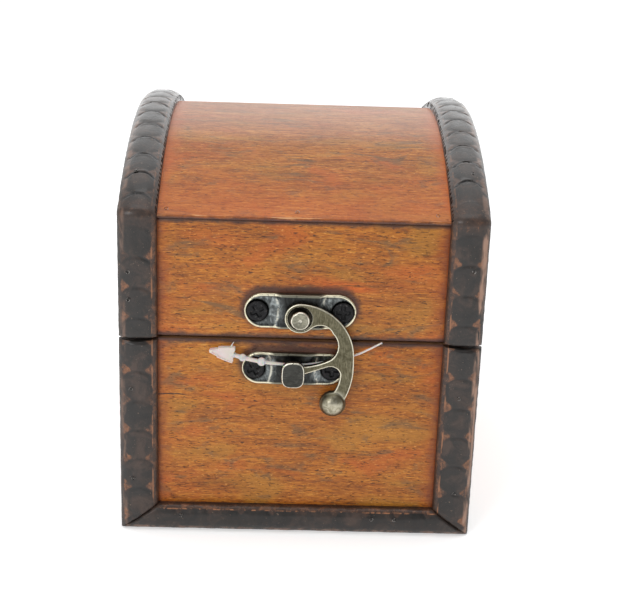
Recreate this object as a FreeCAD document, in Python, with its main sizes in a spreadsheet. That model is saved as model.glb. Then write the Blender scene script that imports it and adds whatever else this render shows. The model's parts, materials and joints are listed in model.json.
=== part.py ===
"""A small wooden money box shaped like a treasure chest.

The base and the vaulted lid are thin boards with domed wooden strips over every corner.
Two small butt hinges join them at the back and a cast swing hook closes them at the front.
Millimetres.  +X is to the right seen from the front, +Y to the back, +Z up.
The origin is the centre of the underside.
"""
import FreeCAD, Part
import math
import os
import Sketcher

SIZES = {
    # the case
    "case_width": 92,           # over the corner strips
    "case_depth": 108,          # front board face to back board face
    "seam_height": 54,          # where the lid meets the base
    "spring_height": 86,        # where the vault starts
    "vault_rise": 14,           # crown above the spring line
    "board_thickness": 5,
    "bottom_thickness": 4,
    "panel_thickness": 0.8,     # the bent board of the vault
    "seam_gap": 0.6,
    # the domed strips
    "strip_width": 10,
    "strip_proud": 3.2,
    "strip_round": 2.6,         # rounding of the long outer edges
    "foot_height": 7.4,         # the strips along the underside
    # coin slot in the rear slope of the vault
    "slot_length": 35,
    "slot_width": 5,
    "slot_setback": 38,         # behind the crown
    # hinges
    "hinge_width": 16,
    "hinge_inset": 6,           # from the strip to the hinge leaf
    "leaf_height": 8,
    "leaf_thickness": 0.8,
    "knuckle_radius": 1.6,
    "hinge_pin_radius": 0.8,
    "running_clearance": 0.05,
    "knuckle_clearance": 0.15,
    # swing hook and its two plates
    "plate_thickness": 0.8,
    "latch_plate_width": 28.2,
    "latch_plate_height": 9.2,
    "catch_plate_width": 26,
    "catch_plate_height": 8.6,
    "latch_offset": -0.35,      # the hook's pivot, a little left of the middle
    "catch_offset": -1.75,      # the catch plate and its post, further left
    "pivot_rise": 6.9,          # hook pivot above the seam
    "catch_drop": 14.6,         # catch post below the hook pivot
    "hook_thickness": 1.5,
    "hook_gap": 0.15,           # between the hook and the faces beside it
    "rivet_radius": 1.2,
    "rivet_head_radius": 2.4,
    "rivet_head_height": 1.8,
    "post_radius": 1.5,
    "post_head_width": 5.8,
    "post_head_height": 6.9,
    "post_head_thickness": 1.6,
    "post_gap": 0.55,           # between the hook and the back of the post's head
    "knob_radius": 3.4,
    "knob_thickness": 3.4,      # the ball is flat behind, level with the hook's back
    # fasteners
    "screw_head_radius": 2.7,
    "screw_head_height": 0.55,
    "screw_radius": 1.1,
    "screw_length": 4.2,
    "small_head_radius": 1.3,
    "small_head_height": 0.4,
    "small_screw_radius": 0.6,
    "brad_radius": 0.45,
    "brad_length": 7,
    "vault_brad_length": 5.5,
    # nylon tag fastener looped over the catch post
    "tag_radius": 0.35,
    "tag_bead_radius": 0.9,
    "tag_bead_thickness": 1.1,
    "tag_head_half_width": 2.2,
    "tag_head_thickness": 1.4,
}

LEFT, RIGHT = -1, 1
FRONT, BACK = -1, 1
GREATEST_OPENING_GAP = 0.6      # what the rear strips keep clear of each other with the lid open

doc = FreeCAD.newDocument("money_box")
sheet = doc.addObject("Spreadsheet::Sheet", "sizes")
for row, (name, number) in enumerate(SIZES.items(), start=1):
    sheet.set(f"A{row}", name)
    sheet.set(f"B{row}", str(number))
    sheet.setAlias(f"B{row}", name)
doc.recompute()

# ---------------------------------------------------------------- derived sizes, as expressions
HALF_WIDTH = "(sizes.case_width / 2)"
HALF_DEPTH = "(sizes.case_depth / 2)"
BOARD_HALF_WIDTH = "(sizes.case_width / 2 - sizes.strip_proud)"
INNER_HALF_WIDTH = f"({BOARD_HALF_WIDTH} - sizes.board_thickness)"
INNER_HALF_DEPTH = f"({HALF_DEPTH} - sizes.board_thickness)"
STRIP_INNER = f"({HALF_WIDTH} - sizes.strip_width)"
BASE_TOP = "(sizes.seam_height - sizes.seam_gap / 2)"
LID_FOOT = "(sizes.seam_height + sizes.seam_gap / 2)"
CROWN = "(sizes.spring_height + sizes.vault_rise)"
VAULT_RADIUS = f"(({HALF_DEPTH} ^ 2 + sizes.vault_rise ^ 2) / (2 * sizes.vault_rise))"
VAULT_CENTRE = f"({CROWN} - {VAULT_RADIUS})"
PANEL_INNER_RADIUS = f"({VAULT_RADIUS} - sizes.panel_thickness)"
STRIP_OUTER_RADIUS = f"({VAULT_RADIUS} + sizes.strip_proud)"
SIDE_ARCH_INNER_RADIUS = f"({VAULT_RADIUS} - sizes.strip_width)"
HINGE_AXIS_Y = f"({HALF_DEPTH} + sizes.knuckle_radius)"
HINGE_CENTRE_X = f"({STRIP_INNER} - sizes.hinge_inset - sizes.hinge_width / 2)"
REAR_RELIEF = f"(sizes.strip_proud - sizes.knuckle_radius + {GREATEST_OPENING_GAP})"
PIVOT_HEIGHT = "(sizes.seam_height + sizes.pivot_rise)"
LATCH_PLATE_HEIGHT = f"({PIVOT_HEIGHT} + 1)"
CATCH_HEIGHT = f"({PIVOT_HEIGHT} - sizes.catch_drop)"
HOOK_BACK = "(2 * sizes.plate_thickness + sizes.hook_gap)"
HOOK_FRONT = f"({HOOK_BACK} + sizes.hook_thickness)"
POST_HEAD_BACK = f"({HOOK_FRONT} + sizes.post_gap)"

pieces = []


def value(expression):
    """The number that an expression of the size sheet has now."""
    return float(sheet.evalExpression(str(expression)))


def vault_height(radius, distance):
    """Height of a circle about the vault's centre, at a distance from the crown line."""
    return f"({VAULT_CENTRE} + sqrt(({radius}) ^ 2 - ({distance}) ^ 2))"


# ---------------------------------------------------------------- building helpers
def keep(piece, label):
    """Give a finished piece its label and add it to those written out."""
    piece.Label = label
    pieces.append(piece)
    return piece


def place(piece, x="0", y="0", z="0"):
    """Bind a piece's position to the sizes."""
    for axis, expression in zip("xyz", (x, y, z)):
        piece.setExpression(f"Placement.Base.{axis}", str(expression))


def box(label, x, y, z):
    """A board between two limits along each axis."""
    board = doc.addObject("Part::Box", label)
    for side, (low, high) in zip(("Length", "Width", "Height"), (x, y, z)):
        board.setExpression(side, f"({high}) - ({low})")
    place(board, x[0], y[0], z[0])
    return keep(board, label)


def new_sketch(body, name, role):
    """An empty sketch on one of the body's own origin planes."""
    sketch = body.newObject("Sketcher::SketchObject", name)
    plane = next(f for f in body.Origin.OriginFeatures if f.Role == role)
    sketch.AttachmentSupport = [(plane, "")]
    sketch.MapMode = "FlatFace"
    return sketch


def bind(sketch, kind, members, expression):
    """A sketch dimension that follows an expression."""
    number = sketch.addConstraint(Sketcher.Constraint(kind, *members, value(expression)))
    sketch.setExpression(f"Constraints[{number}]", str(expression))


def outline(body, name, role, corners, bends=None):
    """A closed outline through corners.  bends maps an edge's number to (radius, bulge side).

    The bulge side is +1 where the arc swells to the right of its direction of travel.
    """
    sketch = new_sketch(body, name, role)
    bends = bends or {}
    points = [FreeCAD.Vector(value(u), value(v), 0) for u, v in corners]
    starts, ends = [], []
    for number, start in enumerate(points):
        end = points[(number + 1) % len(points)]
        if number in bends:
            radius, side = bends[number]
            chord = end - start
            rise = value(radius) - math.sqrt(value(radius) ** 2 - chord.Length ** 2 / 4)
            across = FreeCAD.Vector(chord.y, -chord.x, 0).normalize()
            middle = (start + end) / 2 + across * rise * side
            sketch.addGeometry(Part.Arc(start, middle, end))
        else:
            sketch.addGeometry(Part.LineSegment(start, end))
        forward = sketch.getPoint(number, 1).distanceToPoint(start) < 1e-6
        starts.append(1 if forward else 2)
        ends.append(2 if forward else 1)
    for number in range(len(points)):
        following = (number + 1) % len(points)
        join = (number, ends[number], following, starts[following])
        sketch.addConstraint(Sketcher.Constraint("Coincident", *join))
    for number, (u, v) in enumerate(corners):
        bind(sketch, "DistanceX", (-1, 1, number, starts[number]), u)
        bind(sketch, "DistanceY", (-1, 1, number, starts[number]), v)
    for number, (radius, _) in bends.items():
        bind(sketch, "Radius", (number,), radius)
    return sketch


def disc(body, name, role, u, v, radius):
    """A circle whose centre and radius follow the sizes."""
    sketch = new_sketch(body, name, role)
    centre = FreeCAD.Vector(value(u), value(v), 0)
    sketch.addGeometry(Part.Circle(centre, FreeCAD.Vector(0, 0, 1), value(radius)))
    bind(sketch, "DistanceX", (-1, 1, 0, 3), u)
    bind(sketch, "DistanceY", (-1, 1, 0, 3), v)
    bind(sketch, "Radius", (0,), radius)
    return sketch


def stadium(body, name, role, width, height):
    """A plate outline with two round ends, centred on the body's origin."""
    straight = f"(({width}) - ({height})) / 2"
    corners = [
        (f"-{straight}", f"-({height}) / 2"),
        (straight, f"-({height}) / 2"),
        (straight, f"({height}) / 2"),
        (f"-{straight}", f"({height}) / 2"),
    ]
    sketch = new_sketch(body, name, role)
    points = [FreeCAD.Vector(value(u), value(v), 0) for u, v in corners]
    reach = FreeCAD.Vector(value(height) / 2, 0, 0)
    centre_right = (points[1] + points[2]) / 2
    centre_left = (points[3] + points[0]) / 2
    sketch.addGeometry(Part.LineSegment(points[0], points[1]))
    sketch.addGeometry(Part.Arc(points[1], centre_right + reach, points[2]))
    sketch.addGeometry(Part.LineSegment(points[2], points[3]))
    sketch.addGeometry(Part.Arc(points[3], centre_left - reach, points[0]))
    for number in range(4):
        following = (number + 1) % 4
        sketch.addConstraint(Sketcher.Constraint("Coincident", number, 2, following, 1))
    for number in (0, 2):
        for end in (1, 2):
            u, v = corners[number + end - 1]
            bind(sketch, "DistanceX", (-1, 1, number, end), u)
            bind(sketch, "DistanceY", (-1, 1, number, end), v)
    bind(sketch, "DistanceX", (-1, 1, 1, 3), straight)
    bind(sketch, "DistanceX", (-1, 1, 3, 3), f"-{straight}")
    return sketch


def pad(body, name, sketch, length, reverse=False, both_ways=False):
    """Thicken a sketch, along its plane's normal unless reversed."""
    feature = body.newObject("PartDesign::Pad", name)
    feature.Profile = sketch
    feature.setExpression("Length", str(length))
    feature.Reversed = reverse
    if both_ways:
        feature.SideType = "Symmetric"
    doc.recompute()
    return feature


def cut(body, name, sketch, length, reverse=False, both_ways=False):
    """Cut a sketch into the body and make sure that something was removed."""
    before = body.Shape.Volume
    feature = body.newObject("PartDesign::Pocket", name)
    feature.Profile = sketch
    feature.setExpression("Length", str(length))
    feature.Reversed = reverse
    if both_ways:
        feature.SideType = "Symmetric"
    doc.recompute()
    assert body.Shape.Volume < before, f"{body.Name}: {name} cut nothing"
    return feature


def round_edges(body, name, radius, wanted):
    """Round the edges of the body's last feature that the test picks."""
    base = body.Tip
    picked = [f"Edge{n}" for n, edge in enumerate(base.Shape.Edges, start=1) if wanted(edge)]
    feature = body.newObject("PartDesign::Fillet", name)
    feature.Base = (base, picked)
    feature.setExpression("Radius", str(radius))
    doc.recompute()
    return feature


def new_body(label):
    body = doc.addObject("PartDesign::Body", label)
    return keep(body, label)


# ---------------------------------------------------------------- boards
def base_boards():
    height = ("0", BASE_TOP)
    across = (f"-{BOARD_HALF_WIDTH}", BOARD_HALF_WIDTH)
    along = (f"-{INNER_HALF_DEPTH}", INNER_HALF_DEPTH)
    box("base_front_board", across, (f"-{HALF_DEPTH}", f"-{INNER_HALF_DEPTH}"), height)
    box("base_back_board", across, (INNER_HALF_DEPTH, HALF_DEPTH), height)
    box("base_left_board", (f"-{BOARD_HALF_WIDTH}", f"-{INNER_HALF_WIDTH}"), along, height)
    box("base_right_board", (INNER_HALF_WIDTH, BOARD_HALF_WIDTH), along, height)
    inside = (f"-{INNER_HALF_WIDTH}", INNER_HALF_WIDTH)
    box("base_bottom_board", inside, along, ("0", "sizes.bottom_thickness"))


def lid_cross_board(label, side):
    """The lid's front or back board; its top edge follows the underside of the vault."""
    near = f"{side} * {INNER_HALF_DEPTH}"
    far = f"{side} * {HALF_DEPTH}"
    corners = [
        (far, LID_FOOT),
        (near, LID_FOOT),
        (near, vault_height(PANEL_INNER_RADIUS, INNER_HALF_DEPTH)),
        (far, vault_height(PANEL_INNER_RADIUS, HALF_DEPTH)),
    ]
    body = new_body(label)
    sketch = outline(body, f"{label}_side", "YZ_Plane", corners, {2: (PANEL_INNER_RADIUS, -side)})
    pad(body, f"{label}_pad", sketch, f"2 * {BOARD_HALF_WIDTH}", both_ways=True)


def lid_end_board(label, side):
    """An end of the lid, between the front and back boards, arched along the top."""
    top = vault_height(PANEL_INNER_RADIUS, INNER_HALF_DEPTH)
    corners = [
        (f"-{INNER_HALF_DEPTH}", LID_FOOT),
        (INNER_HALF_DEPTH, LID_FOOT),
        (INNER_HALF_DEPTH, top),
        (f"-{INNER_HALF_DEPTH}", top),
    ]
    body = new_body(label)
    sketch = outline(body, f"{label}_side", "YZ_Plane", corners, {2: (PANEL_INNER_RADIUS, 1)})
    pad(body, f"{label}_pad", sketch, "sizes.board_thickness", reverse=side == LEFT)
    place(body, x=f"{side} * {INNER_HALF_WIDTH}")


def lid_top_panel():
    """The thin board bent over the ends, with the coin slot through its rear slope."""
    low = vault_height(PANEL_INNER_RADIUS, HALF_DEPTH)
    corners = [
        (HALF_DEPTH, "sizes.spring_height"),
        (f"-{HALF_DEPTH}", "sizes.spring_height"),
        (f"-{HALF_DEPTH}", low),
        (HALF_DEPTH, low),
    ]
    bends = {0: (VAULT_RADIUS, 1), 2: (PANEL_INNER_RADIUS, -1)}
    body = new_body("lid_top_panel")
    sketch = outline(body, "vault_side", "YZ_Plane", corners, bends)
    pad(body, "vault_pad", sketch, f"2 * {BOARD_HALF_WIDTH}", both_ways=True)
    half_length = "sizes.slot_length / 2"
    near = "sizes.slot_setback - sizes.slot_width / 2"
    far = "sizes.slot_setback + sizes.slot_width / 2"
    slot = [(f"-{half_length}", near), (half_length, near), (half_length, far), (f"-{half_length}", far)]
    sketch = outline(body, "coin_slot_outline", "XY_Plane", slot)
    cut(body, "coin_slot", sketch, f"2 * {CROWN}", both_ways=True)


# ---------------------------------------------------------------- domed strips
def strip(label, role, corners, bends, outward, seat):
    """A strip cut to an outline, stood proud of its board, its long outer edges rounded.

    outward is True where the strip grows along the sketch plane's normal, and seat is where
    its back face lies along that normal's axis.
    """
    body = new_body(label)
    sketch = outline(body, f"{label}_outline", role, corners, bends)
    pad(body, f"{label}_pad", sketch, "sizes.strip_proud", reverse=not outward)
    box_now = body.Shape.BoundBox
    if role == "XZ_Plane":
        face_at = box_now.YMin if outward else box_now.YMax
        place(body, y=seat)
    else:
        face_at = box_now.XMax if outward else box_now.XMin
        place(body, x=seat)
    long_enough = 1.3 * value("sizes.strip_width")

    def on_outer_face(edge):
        ends = [v.Y if role == "XZ_Plane" else v.X for v in edge.Vertexes]
        flat = all(abs(end - face_at) < 1e-6 for end in ends)
        return flat and edge.Length > long_enough

    round_edges(body, f"{label}_rounding", "sizes.strip_round", on_outer_face)
    return body


def upright_corners(outer, inner, low_outer, low_inner, high_outer, high_inner):
    return [(outer, low_outer), (inner, low_inner), (inner, high_inner), (outer, high_outer)]


def front_and_back_strips():
    """Strips on the front and back faces: two uprights and a mitred foot for the base,
    two uprights for the lid.  The rear ones stop short of the seam so that the lid can open."""
    for face, end in (("front", FRONT), ("back", BACK)):
        seat = f"{end} * {HALF_DEPTH}"
        outward = end == FRONT
        relief = REAR_RELIEF if end == BACK else "0"
        base_high = f"({BASE_TOP} - {relief})"
        lid_low = f"({LID_FOOT} + {relief})"
        for side_name, side in (("left", LEFT), ("right", RIGHT)):
            outer = f"{side} * {HALF_WIDTH}"
            inner = f"{side} * {STRIP_INNER}"
            post = upright_corners(outer, inner, "0", "sizes.foot_height", base_high, base_high)
            strip(f"base_{face}_{side_name}_strip", "XZ_Plane", post, {}, outward, seat)
            post = upright_corners(outer, inner, lid_low, lid_low, "sizes.spring_height",
                                   "sizes.spring_height")
            strip(f"lid_{face}_{side_name}_strip", "XZ_Plane", post, {}, outward, seat)
        foot = [
            (f"-{HALF_WIDTH}", "0"),
            (HALF_WIDTH, "0"),
            (STRIP_INNER, "sizes.foot_height"),
            (f"-{STRIP_INNER}", "sizes.foot_height"),
        ]
        strip(f"base_{face}_foot_strip", "XZ_Plane", foot, {}, outward, seat)


def side_strips():
    """Strips on the two ends, tucked behind the edges of the front and back ones."""
    near_post = f"({HALF_DEPTH} - sizes.strip_width)"
    arch_low = vault_height(SIDE_ARCH_INNER_RADIUS, HALF_DEPTH)
    arch_high = vault_height(SIDE_ARCH_INNER_RADIUS, near_post)
    for side_name, side in (("left", LEFT), ("right", RIGHT)):
        seat = f"{side} * {BOARD_HALF_WIDTH}"
        outward = side == RIGHT
        for face, end in (("front", FRONT), ("back", BACK)):
            outer = f"{end} * {HALF_DEPTH}"
            inner = f"{end} * {near_post}"
            post = upright_corners(outer, inner, "0", "sizes.foot_height", BASE_TOP, BASE_TOP)
            strip(f"base_{side_name}_{face}_strip", "YZ_Plane", post, {}, outward, seat)
            post = upright_corners(outer, inner, LID_FOOT, LID_FOOT, arch_low, arch_high)
            bends = {2: (SIDE_ARCH_INNER_RADIUS, -end)}
            strip(f"lid_{side_name}_{face}_strip", "YZ_Plane", post, bends, outward, seat)
        foot = [
            (f"-{HALF_DEPTH}", "0"),
            (HALF_DEPTH, "0"),
            (near_post, "sizes.foot_height"),
            (f"-{near_post}", "sizes.foot_height"),
        ]
        strip(f"base_{side_name}_foot_strip", "YZ_Plane", foot, {}, outward, seat)
        arch = [
            (f"-{HALF_DEPTH}", arch_low),
            (HALF_DEPTH, arch_low),
            (HALF_DEPTH, "sizes.spring_height"),
            (f"-{HALF_DEPTH}", "sizes.spring_height"),
        ]
        bends = {0: (SIDE_ARCH_INNER_RADIUS, -1), 2: (VAULT_RADIUS, 1)}
        strip(f"lid_{side_name}_side_arch", "YZ_Plane", arch, bends, outward, seat)


def top_arch_strip(label, side):
    """A strip bent over the vault with a rounded knuckle at each spring line."""
    lean = f"asin({HALF_DEPTH} / {VAULT_RADIUS})"
    knuckle_y = f"({HALF_DEPTH} + sizes.strip_proud * sin({lean}))"
    knuckle_z = f"(sizes.spring_height + sizes.strip_proud * cos({lean}))"
    tip = f"({HALF_DEPTH} + sizes.strip_proud)"
    corners = [
        (f"-{HALF_DEPTH}", "sizes.spring_height"),
        (f"-{tip}", "sizes.spring_height"),
        (f"-{knuckle_y}", knuckle_z),
        (knuckle_y, knuckle_z),
        (tip, "sizes.spring_height"),
        (HALF_DEPTH, "sizes.spring_height"),
    ]
    bends = {
        1: ("sizes.strip_proud", -1),
        2: (STRIP_OUTER_RADIUS, -1),
        3: ("sizes.strip_proud", -1),
        5: (VAULT_RADIUS, 1),
    }
    body = new_body(label)
    sketch = outline(body, f"{label}_side", "YZ_Plane", corners, bends)
    pad(body, f"{label}_pad", sketch, "sizes.strip_width", reverse=side == LEFT)
    place(body, x=f"{side} * {STRIP_INNER}")
    crest = value(STRIP_OUTER_RADIUS)
    long_enough = value(HALF_DEPTH)

    def on_crest(edge):
        middle = edge.valueAt((edge.FirstParameter + edge.LastParameter) / 2)
        reach = math.hypot(middle.y, middle.z - value(VAULT_CENTRE))
        return edge.Length > long_enough and abs(reach - crest) < 1e-3

    round_edges(body, f"{label}_rounding", "sizes.strip_round", on_crest)


# ---------------------------------------------------------------- fasteners
def rod_along_y(start, radius, length):
    """A plain rod that runs to the back from a point on its front end."""
    return Part.makeCylinder(radius, length, start, FreeCAD.Vector(0, 1, 0))


def fastener_group(label, solids):
    """Identical fasteners: separate solids in one node."""
    group = doc.addObject("Part::Feature", label)
    group.Shape = Part.makeCompound(solids)
    return keep(group, label)


def screw(x, face_y, height, toward_back, small=False):
    """A wood screw: a low head on a plate and a shank in the wood behind it."""
    prefix = "small_head" if small else "screw_head"
    head_radius = value(f"sizes.{prefix}_radius")
    head_height = value(f"sizes.{prefix}_height")
    shank_radius = value("sizes.small_screw_radius" if small else "sizes.screw_radius")
    into = FreeCAD.Vector(0, toward_back, 0)
    seat = FreeCAD.Vector(x, face_y, height)
    head = Part.makeCone(head_radius * 0.8, head_radius, head_height, seat - into * head_height, into)
    shank = Part.makeCylinder(shank_radius, value("sizes.screw_length"), seat, into)
    return head.fuse(shank).removeSplitter()


def front_brad(x, height):
    """A brad driven straight through a front strip."""
    start = FreeCAD.Vector(x, -value(HALF_DEPTH) - value("sizes.strip_proud"), height)
    return rod_along_y(start, value("sizes.brad_radius"), value("sizes.brad_length"))


def vault_brad(x, y, surface_radius):
    """A brad driven square to the vault, from a surface at a radius about the vault's centre."""
    centre = FreeCAD.Vector(x, 0, value(VAULT_CENTRE))
    height = math.sqrt(surface_radius ** 2 - y ** 2)
    start = centre + FreeCAD.Vector(0, y, height)
    return Part.makeCylinder(value("sizes.brad_radius"), value("sizes.vault_brad_length"), start,
                             centre - start)


def brads():
    """Brads driven by eye: through the front strips, the vault's strips and the front edge of
    the vault's board.  The first number of a pair is how far in from the case's side it is."""
    edge = value(HALF_WIDTH)
    base_spots = {LEFT: ((3.6, 15.3), (3.3, 40.6)), RIGHT: ((4.8, 12.9), (5.3, 40.1))}
    lid_spots = {LEFT: ((2.9, 10.8), (2.9, 18.0)), RIGHT: ((4.1, 9.6), (3.8, 20.4))}
    strip_spots = {LEFT: ((3.8, -43.9), (3.8, -4.8)), RIGHT: ((3.8, -41.5), (4.7, -1.1))}
    base, lid, vault = [], [], []
    for side in (LEFT, RIGHT):
        base += [front_brad(side * (edge - inset), height) for inset, height in base_spots[side]]
        for inset, above_seam in lid_spots[side]:
            lid.append(front_brad(side * (edge - inset), value("sizes.seam_height") + above_seam))
        for inset, y in strip_spots[side]:
            vault.append(vault_brad(side * (edge - inset), y, value(STRIP_OUTER_RADIUS)))
    base += [front_brad(x, value("sizes.foot_height") * 0.65) for x in (-30, 20, 26)]
    behind_edge = value(HALF_DEPTH) - 2
    vault += [vault_brad(x, -behind_edge, value(VAULT_RADIUS)) for x in (-34, -1.7, 33)]
    fastener_group("base_front_brads", base)
    fastener_group("lid_front_brads", lid)
    fastener_group("lid_vault_brads", vault)


# ---------------------------------------------------------------- hinges
def hinge_leaf(label, side, is_lid):
    """A leaf on the back face.  The lid's has the middle knuckle, the base's the outer two."""
    width = value("sizes.hinge_width")
    thickness = value("sizes.leaf_thickness")
    radius = value("sizes.knuckle_radius")
    gap = value("sizes.knuckle_clearance")
    back = value(HALF_DEPTH)
    seam = value("sizes.seam_height")
    centre_x = side * value(HINGE_CENTRE_X)
    axis = FreeCAD.Vector(0, value(HINGE_AXIS_Y), seam)
    along = FreeCAD.Vector(1, 0, 0)
    third = width / 3
    if is_lid:
        way = 1
        spans = [(gap - third / 2, third / 2 - gap)]
        start_z = seam + radius + gap
    else:
        way = -1
        spans = [(-width / 2, -third / 2), (third / 2, width / 2)]
        start_z = seam - radius - gap - value("sizes.leaf_height")
    leaf = Part.makeBox(width, thickness, value("sizes.leaf_height"),
                        FreeCAD.Vector(centre_x - width / 2, back, start_z))
    for low, high in spans:
        start = axis + along * (centre_x + low)
        leaf = leaf.fuse(Part.makeCylinder(radius, high - low, start, along))
        web_z = seam if is_lid else seam - radius - gap
        web = Part.makeBox(high - low, thickness, radius + gap,
                           FreeCAD.Vector(centre_x + low, back, web_z))
        leaf = leaf.fuse(web)
    bore_radius = value("sizes.hinge_pin_radius")
    if is_lid:
        bore_radius += value("sizes.running_clearance")
    bore_start = axis + along * (centre_x - width)
    leaf = leaf.cut(Part.makeCylinder(bore_radius, 2 * width, bore_start, along))
    for x in (-third, third):
        hole_height = seam + way * (radius + gap + value("sizes.leaf_height") / 2)
        start = FreeCAD.Vector(centre_x + x, back - thickness, hole_height)
        leaf = leaf.cut(rod_along_y(start, value("sizes.small_screw_radius"), 3 * thickness))
    feature = doc.addObject("Part::Feature", label)
    feature.Shape = leaf.removeSplitter()
    return keep(feature, label)


def hinges():
    width = value("sizes.hinge_width")
    third = width / 3
    reach = value("sizes.knuckle_radius") + value("sizes.knuckle_clearance")
    middle = value("sizes.leaf_height") / 2
    seat = value(HALF_DEPTH) + value("sizes.leaf_thickness")
    screws = {1: [], -1: []}
    for side_name, side in (("left", LEFT), ("right", RIGHT)):
        centre_x = side * value(HINGE_CENTRE_X)
        hinge_leaf(f"hinge_{side_name}_base_leaf", side, False)
        hinge_leaf(f"hinge_{side_name}_lid_leaf", side, True)
        pin = doc.addObject("Part::Cylinder", f"hinge_{side_name}_pin")
        pin.setExpression("Radius", "sizes.hinge_pin_radius")
        pin.setExpression("Height", "sizes.hinge_width")
        pin.Placement.Rotation = FreeCAD.Rotation(FreeCAD.Vector(0, 1, 0), 90)
        place(pin, f"{side} * {HINGE_CENTRE_X} - sizes.hinge_width / 2", HINGE_AXIS_Y, "sizes.seam_height")
        keep(pin, f"hinge_{side_name}_pin")
        for way, solids in screws.items():
            height = value("sizes.seam_height") + way * (reach + middle)
            solids += [screw(centre_x + x, seat, height, -1, small=True) for x in (-third, third)]
    fastener_group("hinge_lid_screws", screws[1])
    fastener_group("hinge_base_screws", screws[-1])


# ---------------------------------------------------------------- swing hook latch
def latch_plate(label, width, height, stepped):
    """A plate with two round ends, two screw holes and, for the hook, a raised middle."""
    body = new_body(label)
    thickness = "sizes.plate_thickness"
    sketch = stadium(body, f"{label}_outline", "XZ_Plane", width, height)
    pad(body, f"{label}_pad", sketch, thickness)
    if stepped:
        half = f"({width}) * 0.19"
        step = [(f"-{half}", f"-({height}) / 2"), (half, f"-({height}) / 2"),
                (half, f"({height}) / 2"), (f"-{half}", f"({height}) / 2")]
        sketch = outline(body, f"{label}_step_outline", "XZ_Plane", step)
        pad(body, f"{label}_step", sketch, f"2 * {thickness}")
    for side in (LEFT, RIGHT):
        at = f"{side} * {screw_offset(width, height)}"
        sketch = disc(body, f"{label}_hole_outline", "XZ_Plane", at, "0", "sizes.screw_radius")
        cut(body, f"{label}_hole", sketch, f"6 * {thickness}", both_ways=True)
    return body


def screw_offset(width, height):
    """How far each screw stands from the middle of its plate."""
    return f"(({width}) / 2 - ({height}) * 0.36)"


def latch():
    """Hook plate, rivet and screws on the lid; catch plate, post and screws on the base."""
    plate = latch_plate("latch_plate", "sizes.latch_plate_width", "sizes.latch_plate_height", True)
    place(plate, "sizes.latch_offset", f"-{HALF_DEPTH}", LATCH_PLATE_HEIGHT)
    sketch = disc(plate, "rivet_hole_outline", "XZ_Plane", "0",
                  f"{PIVOT_HEIGHT} - {LATCH_PLATE_HEIGHT}", "sizes.rivet_radius")
    cut(plate, "rivet_hole", sketch, "6 * sizes.plate_thickness", both_ways=True)

    rivet = new_body("latch_rivet")
    shank = disc(rivet, "rivet_shank_outline", "XZ_Plane", "0", "0", "sizes.rivet_radius")
    head_seat = f"({HOOK_FRONT} + sizes.hook_gap)"
    pad(rivet, "rivet_shank", shank, head_seat)
    head = disc(rivet, "rivet_head_outline", "XZ_Plane", "0", "0", "sizes.rivet_head_radius")
    head.setExpression("AttachmentOffset.Base.z", head_seat)
    pad(rivet, "rivet_head", head, "sizes.rivet_head_height")
    front_y = -value(f"{head_seat} + sizes.rivet_head_height")
    round_edges(rivet, "rivet_dome", "sizes.rivet_head_height * 0.8",
                lambda edge: all(abs(v.Y - front_y) < 1e-6 for v in edge.Vertexes))
    place(rivet, "sizes.latch_offset", f"-{HALF_DEPTH}", PIVOT_HEIGHT)

    plate = latch_plate("catch_plate", "sizes.catch_plate_width", "sizes.catch_plate_height", False)
    place(plate, "sizes.catch_offset", f"-{HALF_DEPTH}", CATCH_HEIGHT)
    sketch = disc(plate, "post_hole_outline", "XZ_Plane", "0", "0", "sizes.post_radius")
    cut(plate, "post_hole", sketch, "6 * sizes.plate_thickness", both_ways=True)

    post = new_body("catch_post")
    stem = disc(post, "post_stem_outline", "XZ_Plane", "0", "0", "sizes.post_radius")
    pad(post, "post_stem", stem, POST_HEAD_BACK)
    half_width = "sizes.post_head_width / 2"
    flat = f"sqrt((sizes.post_head_height / 2) ^ 2 - ({half_width}) ^ 2)"
    corners = [(f"-({half_width})", f"-{flat}"), (half_width, f"-{flat}"),
               (half_width, flat), (f"-({half_width})", flat)]
    round_radius = "sizes.post_head_height / 2"
    head = outline(post, "post_head_outline", "XZ_Plane", corners,
                   {0: (round_radius, 1), 2: (round_radius, 1)})
    head.setExpression("AttachmentOffset.Base.z", POST_HEAD_BACK)
    pad(post, "post_head", head, "sizes.post_head_thickness")
    front_y = -value(f"{POST_HEAD_BACK} + sizes.post_head_thickness")
    round_edges(post, "post_head_rounding", "sizes.post_head_thickness * 0.45",
                lambda edge: all(abs(v.Y - front_y) < 1e-6 for v in edge.Vertexes))
    place(post, "sizes.catch_offset", f"-{HALF_DEPTH}", CATCH_HEIGHT)

    plate_face = -value(HALF_DEPTH) - value("sizes.plate_thickness")
    for kind, level in (("latch", LATCH_PLATE_HEIGHT), ("catch", CATCH_HEIGHT)):
        centre = value(f"sizes.{kind}_offset")
        offset = value(screw_offset(f"sizes.{kind}_plate_width", f"sizes.{kind}_plate_height"))
        places = (centre - offset, centre + offset)
        fastener_group(f"{kind}_screws", [screw(x, plate_face, value(level), 1) for x in places])


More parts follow.
